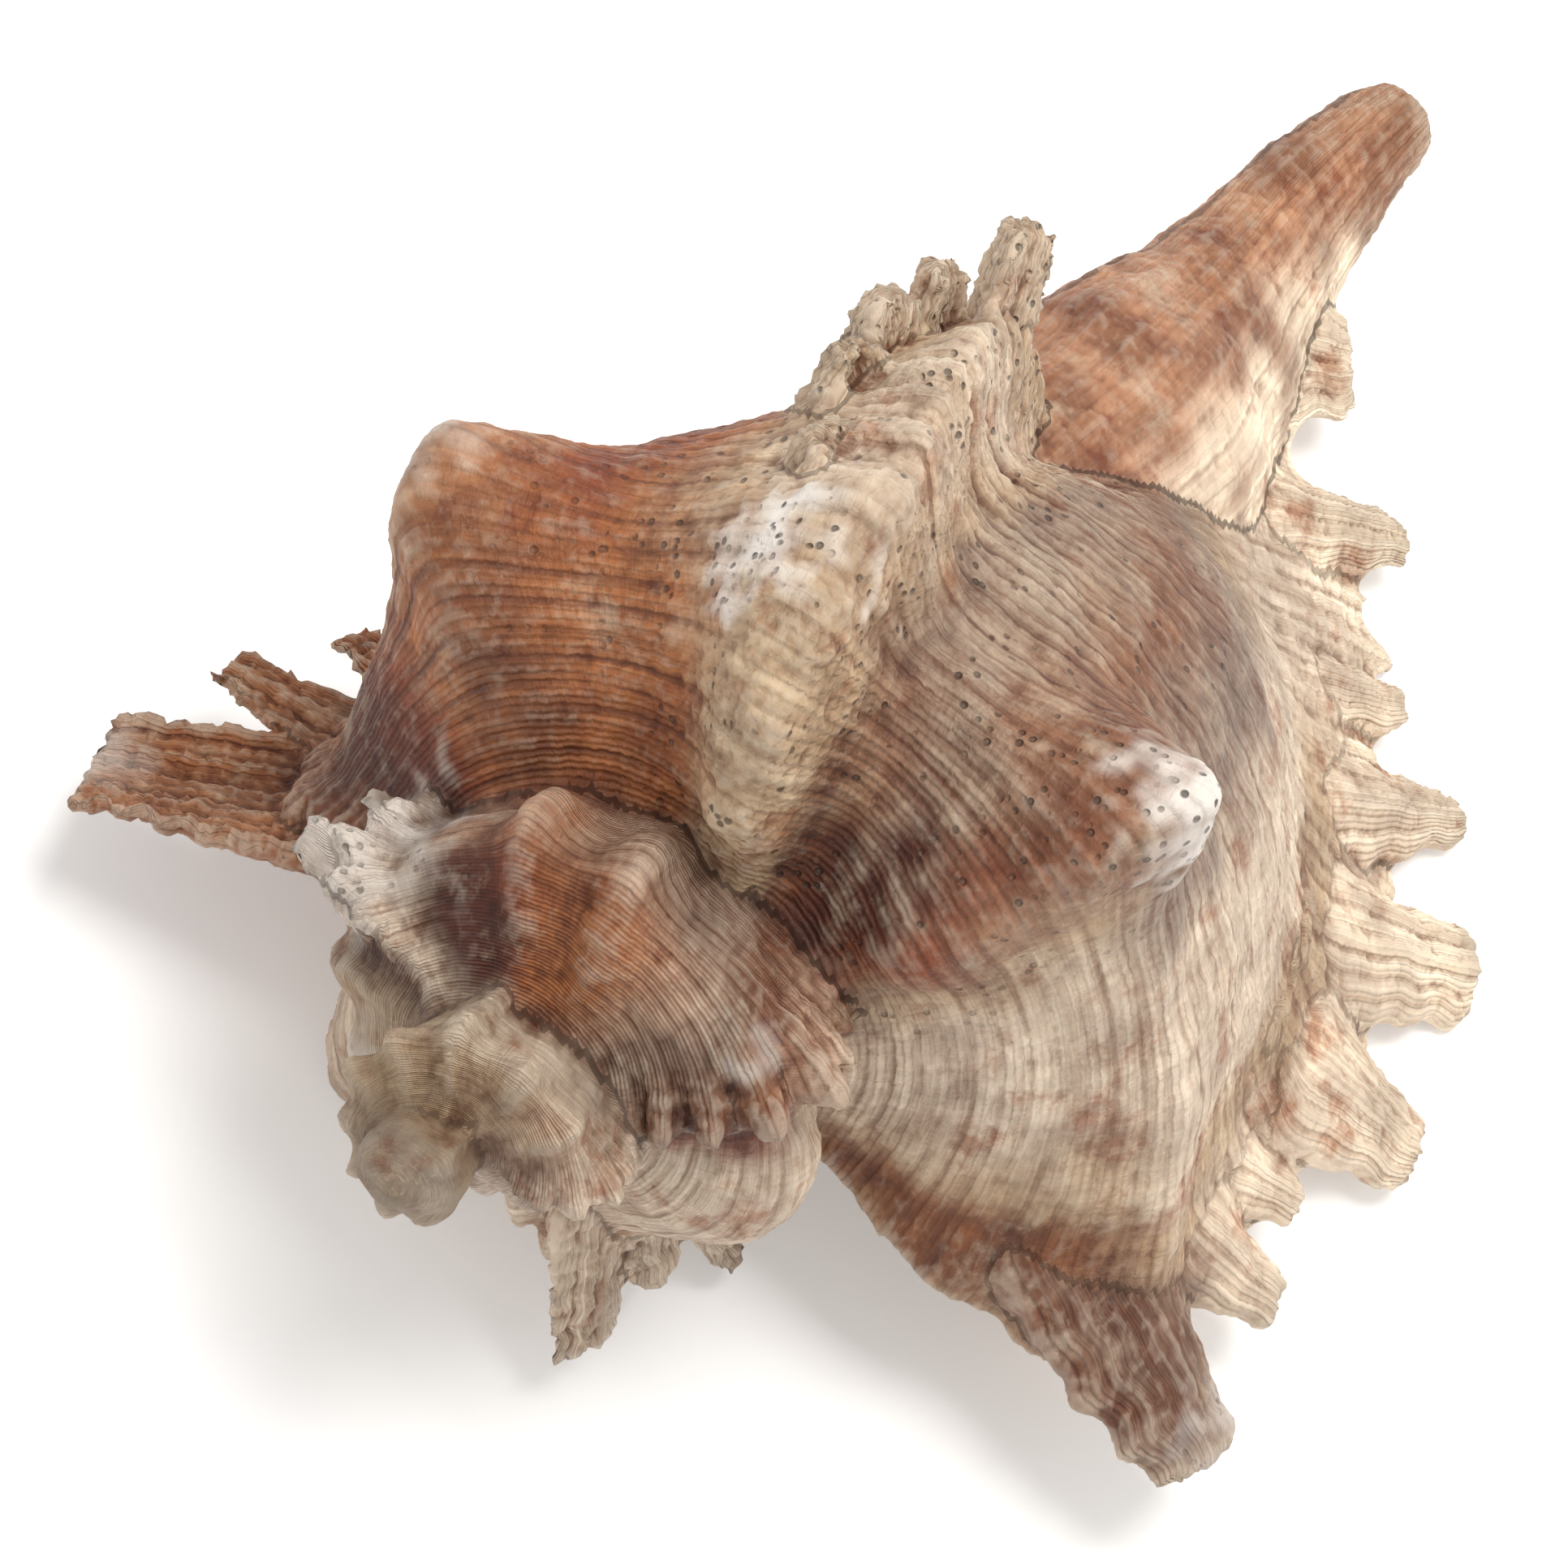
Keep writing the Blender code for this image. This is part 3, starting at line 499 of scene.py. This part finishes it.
# the skin is evened out, but not on the small turns of the spire
SMALL_TURNS = 20.0
settled = np.clip((points[:, 0] - SMALL_TURNS) / 15.0, 0, 1)
for k in range(3):
    points[:, k] += settled * (spread(points[:, k], 5) - points[:, k])
# where the skin crosses from one growth to another the cords do not meet, and fade out
jump = (np.abs(cord[edges[:, 0]] - cord[edges[:, 1]]) > 1.2).astype(float)
seam = np.zeros(count)
np.maximum.at(seam, edges[:, 0], jump)
np.maximum.at(seam, edges[:, 1], jump)
seam = np.clip(3.0 * spread(seam, 6), 0, 1)

LIP_END = 16.0                  # the newest varix and its spines end this far back, degrees
# how near each point is to the crest of a varix; faint on the lip and canal
crest = np.zeros(count)
for at, _, _, _, old_width, new_width, _, _, _ in VARICES:
    arc = np.radians(stage - at) * ARC_RADIUS
    width = np.where(arc > 0, old_width * 1.3, new_width * 1.3)
    crest = np.maximum(crest, np.exp(-(arc / width) ** 2))
crest = np.where(is_canal | (stage < LIP_END), 0.3 * crest, crest)

# heights in mm of the cords, of the threads between them and of the bold ribs on varix and spine
CORD, THREAD = 0.11, 0.04
VARIX_CORD, VARIX_RIB = 0.18, 0.40
SPINE_CORD, SPINE_RIB = 0.08, 0.12
ripple = 0.5 + 0.5 * np.cos(2 * math.pi * cord)
thread = 0.5 + 0.5 * np.cos(2 * math.pi * cord * 3)
bold = 0.5 + 0.5 * np.cos(2 * math.pi * (cord / 2.5 + 0.15))
# the back of the second varix is rubbed smooth
smooth_back = np.exp(-((stage - 118.0) / 9.0) ** 2) * (cord < 12) * (~is_spine)
lift = CORD * (ripple - 0.5) + THREAD * (thread - 0.5)
lift += crest * (VARIX_CORD * (ripple - 0.5) + VARIX_RIB * (bold - 0.5))
lift += is_spine * (SPINE_CORD * (ripple - 0.5) + SPINE_RIB * (bold - 0.5))
lift = lift * (1 - seam) * (1 - 0.8 * smooth_back) * np.clip(scale_here * 1.5, 0.35, 1.0)
# lumps of wear, strongest on the crests and towards the spine tips
lift += 0.55 * wear_field + 0.30 * fine_field
lift += (0.10 + 0.22 * crest + 0.15 * on_spine) * tiny_field
lift *= outer
points = points + normals * lift[:, None]

mesh.vertices.foreach_set("co", points.reshape(-1))
mesh.update()
normals = np.empty(count * 3)
mesh.vertices.foreach_get("normal", normals)
normals = normals.reshape(-1, 3)
mesh.polygons.foreach_set("use_smooth", np.ones(len(mesh.polygons), bool))


def sunk(rounds, depth):
    """How far a point lies below its surroundings, from -1 on a ridge to 1 in a hollow."""
    around_it = np.column_stack([spread(points[:, k], rounds) for k in range(3)])
    return np.clip(((around_it - points) * normals).sum(axis=1) / depth, -1, 1)


# =============================================================================================
# Colour: the lime grew cream, with brown and rust bands where growth was slow, and is chalky
# white where it is worn.
# =============================================================================================
def tone(r, g, b):
    """A given colour, turned into the linear light values that the material takes."""
    c = np.array((r, g, b)) / 255.0
    return np.where(c <= 0.04045, c / 12.92, ((c + 0.055) / 1.055) ** 2.4)


CREAM = tone(247, 238, 219)
PALE = tone(216, 204, 188)
CHALK = tone(212, 200, 188)
GREY = tone(142, 124, 112)
PINK = tone(184, 156, 136)
TAN = tone(168, 108, 64)
SAND = tone(184, 162, 134)
BROWN = tone(128, 80, 48)
DARK = tone(84, 40, 26)
RUST = tone(140, 68, 32)
# stage, colour on the ramp, colour on the side, colour at the base
BANDS = ((-80, CREAM, CREAM, CREAM), (0, SAND, CREAM, CREAM), (5, BROWN, PALE, CREAM),
         (9, BROWN, SAND, PALE), (14, BROWN, SAND, PALE), (20, SAND, PALE, PALE),
         (34, PALE, PALE, PALE), (50, PALE, PALE, SAND), (60, PALE, GREY, SAND),
         (70, SAND, GREY, GREY), (80, RUST, BROWN, GREY), (88, DARK, BROWN, GREY),
         (98, DARK, GREY, BROWN), (105, BROWN, GREY, PALE), (111, SAND, SAND, PALE),
         (124, SAND, PALE, PALE), (133, TAN, SAND, SAND), (142, TAN, TAN, BROWN),
         (152, TAN, RUST, TAN), (160, BROWN, TAN, TAN), (180, TAN, SAND, TAN),
         (194, RUST, BROWN, TAN), (203, DARK, BROWN, BROWN), (213, DARK, BROWN, TAN),
         (224, BROWN, TAN, TAN), (240, PINK, TAN, TAN), (262, PALE, SAND, SAND),
         (292, PINK, PINK, TAN), (308, PALE, PALE, PALE), (322, PALE, PALE, CREAM),
         (350, PALE, PALE, CREAM), (392, PALE, PALE, PALE), (397, RUST, PALE, PALE),
         (402, DARK, RUST, PALE), (408, DARK, SAND, PALE), (416, BROWN, PINK, PALE),
         (432, GREY, BROWN, PALE), (446, PINK, GREY, PALE), (470, TAN, PINK, PALE),
         (488, TAN, PINK, PALE), (498, RUST, TAN, PALE), (506, DARK, BROWN, PALE),
         (530, DARK, PINK, PALE), (541, PALE, GREY, PALE), (560, GREY, CHALK, PALE),
         (590, SAND, SAND, SAND), (636, SAND, PALE, PALE), (660, CHALK, CHALK, CHALK),
         (700, CHALK, CHALK, PALE), (742, CHALK, PALE, PALE), (770, PINK, PALE, PALE),
         (840, SAND, PALE, PALE), (900, SAND, SAND, PALE), (1100, PALE, SAND, PALE),
         (1600, SAND, PINK, PALE))
band_stage = np.array([b[0] for b in BANDS], float)
uneven_stage = stage + 5.0 * wear_field / np.maximum(scale_here, 0.3) + 3.0 * fine_field
row_of_cord = cord + 1.2 * fine_field
ramp_end = row_cord[shoulder_row]
base_start = row_cord[-1] * 0.62
on_side = np.clip((row_of_cord - ramp_end + 1.5) / 3.0, 0, 1)
on_side = np.where(is_spine, 1.0, on_side)
on_base = np.where(is_spine | is_canal, 0.0, np.clip((row_of_cord - base_start) / 6.0, 0, 1))
tint = np.zeros((count, 3))
for channel in range(3):
    ramp, side, base = (np.interp(uneven_stage, band_stage, [b[k][channel] for b in BANDS])
                        for k in (1, 2, 3))
    tint[:, channel] = (ramp * (1 - on_side) + side * on_side) * (1 - on_base) + base * on_base


def lay(colour, amount):
    """Lays a colour over the tint, as strongly as amount says at each point."""
    global tint
    tint = tint * (1 - amount[:, None]) + np.asarray(colour)[None, :] * amount[:, None]


# the dark patch behind the second varix is darkest in the suture and thins out to grey-brown
out_on_ramp = np.clip(row_of_cord / ramp_end, 0, 1) * (~is_spine)
behind_varix = np.exp(-((uneven_stage - 93.0) / 13.0) ** 2)
lay(tone(182, 164, 144), behind_varix * np.clip(2.4 * out_on_ramp - 0.95 + 1.6 * fine_field, 0, 0.7))
lay(BROWN, np.exp(-((uneven_stage - 84.0) / 7.0) ** 2) * np.clip(2.0 * out_on_ramp - 0.9, 0, 0.7))
# the gap behind the third varix is the reddest
lay(tone(84, 38, 20), np.exp(-((uneven_stage - 207.0) / 14.0) ** 2) * np.where(is_spine, 0.0, 0.68))
# a painted shadow line where the second varix overhangs the newer shell
lay(DARK, np.exp(-((stage - 108.0) / 1.3) ** 2) * np.clip(1.6 - 1.7 * out_on_ramp, 0, 0.85))
# the shoulder spines of the lip and of the third varix are brown, cream only at their tips
shoulder_brown = is_spine * (stage < LIP_END) * np.clip((60.0 - points[:, 0]) / 4.0, 0, 1)
lay(tone(104, 62, 38), shoulder_brown * np.clip(0.95 - 0.4 * on_spine ** 3 + 0.7 * fine_field, 0.3, 1))
third_spine = is_spine * np.exp(-((stage - 226.0) / 16.0) ** 2)
lay(tone(158, 108, 72), third_spine * np.clip(0.75 + wear_field, 0, 1))
# canal: brown on the back and towards the old side, cream towards the lip
canal_brown = np.clip(0.45 + points[:, 1] * 0.14 + 0.6 * wear_field, 0, 1) * is_canal
lay(CREAM, is_canal * 1.0)
lay(TAN, canal_brown * 0.85)
lay(BROWN, np.clip(wear_field * 2.4, 0, 0.6) * is_canal)

# the inside is polished, white at the rim and flesh pink further in
depth_in = np.clip(stage / 60.0, 0, 1)
lay(tone(236, 222, 206), inside)
lay(tone(214, 168, 140), inside * 0.35 * depth_in)

# worn places, chalk white and pitted by boring sponges: stage, place along the axis, distance from
# it, turn, reach, strength
WORN = ((78, 54, 60.0, 0, 8.5, 1.0), (75, 52, 56.0, 0, 6.5, 0.9), (119, 46, 51.0, 2, 7.5, 1.2),
        (118, 44, 48.0, 1, 5.5, 1.2),
        (168, 53, 55.5, 0, 5.0, 0.5), (228, 44, 74.0, 0, 6.0, 0.5), (318, 43, 65.0, 0, 9.0, 0.8),
        (416, 50, 41.0, 0, 6.5, 0.9), (2, 49, 63.0, 0, 5.5, 0.7), (550, 52, 56.0, 0, 18.0, 0.7),
        (640, 48, 46.0, 0, 20.0, 0.6))
tint = np.column_stack([spread(tint[:, k], 8) for k in range(3)])
worn = np.zeros(count)
for at, a, r, turn_by, reach, amount in WORN:
    g = float(growth(at))
    spot = place(r * g, a * g, LIP_ANGLE + at + turn_by)
    spot[1] += drift(at)
    gap = np.linalg.norm(points - spot, axis=1) / (reach * max(g, 0.45))
    worn = np.maximum(worn, amount * np.clip(1.6 - 1.3 * gap + 0.9 * fine_field, 0, 1))
worn *= outer

# how strong the brown threads between the cords are, and how dense the pits, by stage
lines = np.interp(uneven_stage, (-80, 0, 10, 60, 100, 112, 128, 140, 225, 300, 400, 520, 560, 760, 1600),
                  (0.15, 0.2, 0.3, 0.4, 0.8, 0.15, 0.2, 0.8, 0.8, 0.5, 0.5, 0.6, 0.25, 0.15, 0.1))
lines = lines * np.where(is_spine | is_canal, 0.45, 1.0) * outer * (1 - worn) * (1 - seam)
pits = np.interp(stage, (0, 55, 70, 105, 135, 165, 1600), (0.0, 0.1, 0.8, 1.0, 1.0, 0.2, 0.1)) * outer


def keep(name, values, kind='FLOAT'):
    """Stores one value, or one colour, for each point of the skin."""
    layer = mesh.attributes.new(name, kind, 'POINT')
    if kind == 'FLOAT_COLOR':
        layer.data.foreach_set("color", np.column_stack([values, np.ones(count)]).reshape(-1))
    else:
        layer.data.foreach_set("value", values.astype(float))


keep("tint", tint, 'FLOAT_COLOR')
keep("cord", cord)
keep("stage", stage)
keep("worn", worn)
keep("inside", inside)
keep("lines", lines)
keep("pits", pits)
keep("groove", sunk(3, 0.05) * outer)
keep("hollow", sunk(16, 0.45) * outer)

# =============================================================================================
# Shell lime: a dry, matt stone. The tint is broken up by mottling, with brown in the grooves
# between cords, pits and chalk where it is worn, and a polish inside the mouth.
# =============================================================================================
lime = bpy.data.materials.new("shell_lime")
lime.use_nodes = True
nodes, links = lime.node_tree.nodes, lime.node_tree.links
surface = nodes["Principled BSDF"]
surface.inputs["Metallic"].default_value = 0.0
surface.inputs["IOR"].default_value = 1.5


def node(kind, **settings):
    """A shader node with its settings."""
    made = nodes.new(kind)
    for key, value in settings.items():
        setattr(made, key, value)
    return made


def read(name, socket="Fac"):
    """A value kept for each point of the skin."""
    return node("ShaderNodeAttribute", attribute_name=name).outputs[socket]


def calc(operation, *values, clamp=False):
    """Sums on numbers and sockets."""
    made = node("ShaderNodeMath", operation=operation, use_clamp=clamp)
    for k, value in enumerate(values):
        if isinstance(value, bpy.types.NodeSocket):
            links.new(value, made.inputs[k])
        else:
            made.inputs[k].default_value = value
    return made.outputs[0]


def grade(value, low, high, to_low=0.0, to_high=1.0):
    """Stretches a value so that low and high become to_low and to_high."""
    made = node("ShaderNodeMapRange")
    links.new(value, made.inputs["Value"])
    for key, number in (("From Min", low), ("From Max", high), ("To Min", to_low), ("To Max", to_high)):
        made.inputs[key].default_value = number
    return made.outputs["Result"]


def paint(r, g, b):
    """A given colour, as the four numbers a colour socket takes."""
    return tuple(tone(r, g, b)) + (1.0,)


def blend(kind, amount, under, over):
    """Mixes one colour over another."""
    made = node("ShaderNodeMix", data_type='RGBA', blend_type=kind)
    for key, value in ((0, amount), (6, under), (7, over)):
        if isinstance(value, bpy.types.NodeSocket):
            links.new(value, made.inputs[key])
        else:
            made.inputs[key].default_value = value
    return made.outputs[2]


def speckle(scale, detail=4.0, rough=0.55, where=None):
    """Natural unevenness, so many lumps to the metre."""
    made = node("ShaderNodeTexNoise")
    made.inputs["Scale"].default_value = scale
    made.inputs["Detail"].default_value = detail
    made.inputs["Roughness"].default_value = rough
    links.new(where or coords, made.inputs["Vector"])
    return made.outputs["Fac"]


coords = node("ShaderNodeTexCoord").outputs["Object"]
cord_at, stage_at = read("cord"), read("stage")
worn_at, inside_at = read("worn"), read("inside")
# streaks that run along the cords: fine across them, long along the growth
streak_place = node("ShaderNodeCombineXYZ")
links.new(calc('MULTIPLY', cord_at, 2.2), streak_place.inputs[0])
links.new(calc('MULTIPLY', stage_at, 0.035), streak_place.inputs[1])
streak = speckle(1.0, 5.0, 0.65, streak_place.outputs[0])
# growth lines that run across the cords
line_place = node("ShaderNodeCombineXYZ")
links.new(calc('MULTIPLY', cord_at, 0.12), line_place.inputs[0])
links.new(calc('MULTIPLY', stage_at, 0.55), line_place.inputs[1])
growth_line = speckle(1.0, 5.0, 0.7, line_place.outputs[0])

# mottling in three sizes: about 5 mm, 1 mm and 17 mm
mottle = speckle(190.0, 6.0, 0.62)
grain = speckle(900.0, 4.0, 0.6)
cloud = speckle(60.0, 4.0, 0.55)
colour = read("tint", "Color")
for amount, pattern, low, high, dark, light in (
        (0.75, mottle, 0.32, 0.68, (0.60, 0.52, 0.47, 1), (1.30, 1.28, 1.25, 1)),
        (0.75, streak, 0.35, 0.65, (0.64, 0.50, 0.40, 1), (1.24, 1.22, 1.18, 1)),
        (0.30, growth_line, 0.36, 0.64, (0.72, 0.66, 0.62, 1), (1.16, 1.16, 1.15, 1)),
        (0.35, cloud, 0.35, 0.65, (0.80, 0.74, 0.74, 1), (1.12, 1.12, 1.10, 1))):
    colour = blend('MULTIPLY', amount, colour, blend('MIX', grade(pattern, low, high), dark, light))
# pale scuffs and brown stains that cross the cords
patch = speckle(150.0, 6.0, 0.7)
colour = blend('MIX', grade(patch, 0.54, 0.68, 0.0, 0.34), colour, paint(222, 204, 178))
colour = blend('MULTIPLY', grade(patch, 0.47, 0.35, 0.0, 0.7), colour, paint(190, 132, 94))
# brown thread in each groove, broken along its length
cord_wave = calc('COSINE', calc('MULTIPLY', cord_at, 2 * math.pi))
in_groove = grade(cord_wave, -0.45, -0.98)
broken = grade(streak, 0.40, 0.60, 1.0, 0.15)
line_mask = calc('MULTIPLY', calc('MULTIPLY', in_groove, read("lines")), broken, clamp=True)
colour = blend('MIX', calc('MULTIPLY', line_mask, 0.9), colour, paint(104, 54, 30))
# the hollows are darkened brown and the ridges paled, by how far each point lies below or above its
# surroundings
groove_at, hollow_at = read("groove"), read("hollow")
groove_darkening = calc('MULTIPLY', grade(groove_at, 0.1, 1.0), 0.26)
hollow_darkening = calc('ADD', groove_darkening, calc('MULTIPLY', grade(hollow_at, 0.1, 1.0), 0.75))
hollow_darkening = calc('MULTIPLY', hollow_darkening, grade(cloud, 0.3, 0.6, 0.5, 1.1), clamp=True)
colour = blend('MULTIPLY', hollow_darkening, colour, paint(146, 104, 80))
cord_paling = calc('MULTIPLY', grade(groove_at, -0.2, -1.0), 0.12)
ridge_paling = calc('ADD', cord_paling, calc('MULTIPLY', grade(hollow_at, -0.2, -1.0), 0.22), clamp=True)
colour = blend('MIX', ridge_paling, colour, paint(222, 208, 188))
# worn chalk
colour = blend('MIX', calc('MULTIPLY', worn_at, grade(mottle, 0.30, 0.55, 0.70, 1.0), clamp=True), colour,
               paint(230, 221, 212))
# sponge pits, dark and small
PITS_PER_METRE = 820.0
pit_cells = node("ShaderNodeTexVoronoi")
pit_cells.inputs["Scale"].default_value = PITS_PER_METRE
links.new(coords, pit_cells.inputs["Vector"])
pit_round = grade(pit_cells.outputs["Distance"], 0.30, 0.16)
worn_pits = calc('MULTIPLY', worn_at, grade(speckle(420.0, 2.0), 0.32, 0.44))
pit_some = calc('MAXIMUM', grade(speckle(260.0, 2.0), 0.50, 0.58), worn_pits)
pit_amount = calc('MAXIMUM', calc('MULTIPLY', worn_at, 0.95), calc('MULTIPLY', read("pits"), 0.75))
pit_mask = calc('MULTIPLY', calc('MULTIPLY', pit_round, pit_some), pit_amount, clamp=True)
colour = blend('MIX', calc('MULTIPLY', pit_mask, 0.92), colour, paint(58, 42, 36))
inside_colour = blend('MULTIPLY', 0.25, read("tint", "Color"), blend('MIX', grade(cloud, 0.35, 0.65),
                      (0.86, 0.80, 0.78, 1), (1.05, 1.05, 1.05, 1)))
colour = blend('MIX', inside_at, colour, inside_colour)
links.new(colour, surface.inputs["Base Color"])

rough = grade(mottle, 0.3, 0.7, 0.50, 0.68)
rough_node = node("ShaderNodeMix", data_type='FLOAT')
links.new(inside_at, rough_node.inputs[0])
links.new(rough, rough_node.inputs[2])
rough_node.inputs[3].default_value = 0.24
links.new(rough_node.outputs[0], surface.inputs["Roughness"])

# fine relief: threads between the cords, growth lines, grain and pits
threads = calc('MULTIPLY', calc('COSINE', calc('MULTIPLY', cord_at, 6 * math.pi)), 0.10)
height = calc('ADD', threads, calc('MULTIPLY', growth_line, 0.55))
height = calc('ADD', height, calc('MULTIPLY', streak, 0.35))
height = calc('ADD', height, calc('MULTIPLY', mottle, 0.35))
height = calc('ADD', height, calc('MULTIPLY', grain, 0.12))
height = calc('SUBTRACT', height, calc('MULTIPLY', pit_mask, 0.9))
height = calc('MULTIPLY', height, calc('SUBTRACT', 1.0, calc('MULTIPLY', inside_at, 0.92)))
RELIEF = 0.0008                 # height of the fine relief, m
bump = node("ShaderNodeBump")
bump.inputs["Strength"].default_value = 0.85
bump.inputs["Distance"].default_value = RELIEF
links.new(height, bump.inputs["Height"])
links.new(bump.outputs["Normal"], surface.inputs["Normal"])
mesh.materials.clear()
mesh.materials.append(lime)

# =============================================================================================
# Laid down: the shell lies mouth down on the belly of its canal and the tips of its side spines,
# which are worn flat where they stand. From here on it is in metres.
# =============================================================================================
REST_UP = Vector((-0.213, 0.490, 0.845)).normalized()   # this direction of the shell points up
REST_SHIFT = Vector((-81.2721, 9.4762, 37.1415))         # where the tip of the spire comes to lie, mm
MM = 0.001
forward = (Vector((1, 0, 0)) - REST_UP * REST_UP.x).normalized()
turn = Matrix((forward, REST_UP.cross(forward), REST_UP)).to_4x4()
mesh.transform(Matrix.Scale(MM, 4) @ Matrix.Translation(REST_SHIFT) @ turn)
laid = np.empty(count * 3)
mesh.vertices.foreach_get("co", laid)
laid[2::3] = np.maximum(laid[2::3], 0.0)
mesh.vertices.foreach_set("co", laid)
mesh.update()
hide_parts("murex_shell")
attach(shell, "root")

# =============================================================================================
# The table it lies on: a plain pale sheet, big enough to fill the view. It gives off a little
# light of its own, so that the shadows on it stay pale.
# =============================================================================================
floor_mesh = bpy.data.meshes.new("floor")
FLOOR_HALF = 6.0                # half the width of the sheet, m
corners = [(x * FLOOR_HALF, y * FLOOR_HALF, 0) for x, y in ((-1, -1), (1, -1), (1, 1), (-1, 1))]
floor_mesh.from_pydata(corners, [], [(0, 1, 2, 3)])
floor = bpy.data.objects.new("floor", floor_mesh)
bpy.context.scene.collection.objects.link(floor)
paper = bpy.data.materials.new("paper")
paper.use_nodes = True
sheet_surface = paper.node_tree.nodes["Principled BSDF"]
sheet_surface.inputs["Base Color"].default_value = (0.90, 0.90, 0.90, 1)
sheet_surface.inputs["Roughness"].default_value = 0.9
sheet_surface.inputs["Emission Color"].default_value = (1, 1, 1, 1)
sheet_surface.inputs["Emission Strength"].default_value = 0.22
floor_mesh.materials.append(paper)

# =============================================================================================
# Light: a pale room all round, a broad lamp overhead and a weak one low on the lip side.
# =============================================================================================
room = bpy.data.worlds.new("room")
bpy.context.scene.world = room
room.use_nodes = True
room.node_tree.nodes["Background"].inputs["Color"].default_value = (1.0, 0.99, 0.97, 1)
room.node_tree.nodes["Background"].inputs["Strength"].default_value = 0.66


def lamp(name, spot, aim, power, width, colour):
    """A square soft lamp at spot, turned to shine on aim."""
    data = bpy.data.lights.new(name, 'AREA')
    data.energy = power
    data.size = width
    data.color = colour
    obj = bpy.data.objects.new(name, data)
    obj.location = spot
    obj.rotation_euler = (Vector(aim) - Vector(spot)).to_track_quat('-Z', 'Y').to_euler()
    bpy.context.scene.collection.objects.link(obj)


lamp("key", (0.20, 0.02, 1.02), (0, 0, 0.02), 7.6, 0.50, (1.0, 0.985, 0.955))
lamp("side", (0.35, -0.75, 0.5), (0, 0, 0.03), 1.0, 0.5, (1.0, 0.98, 0.95))

# =============================================================================================
# The camera: from above the spire, turned so that the canal points to the upper right.
# =============================================================================================
eye = bpy.data.cameras.new("eye")
eye.lens = 165.1
eye.sensor_width = 36.0
eye.clip_start = 0.01
camera = bpy.data.objects.new("eye", eye)
bpy.context.scene.collection.objects.link(camera)
camera.location = (-0.31232, -0.02161, 0.52599)
CAMERA_ROLL = 36.77             # degrees
look = Vector((0.49456, 0.05378, -0.86748)).to_track_quat('-Z', 'Y').to_matrix().to_4x4()
camera.rotation_euler = (look @ Matrix.Rotation(math.radians(CAMERA_ROLL), 4, 'Z')).to_euler()
bpy.context.scene.camera = camera
bpy.context.scene.view_settings.view_transform = 'Standard'
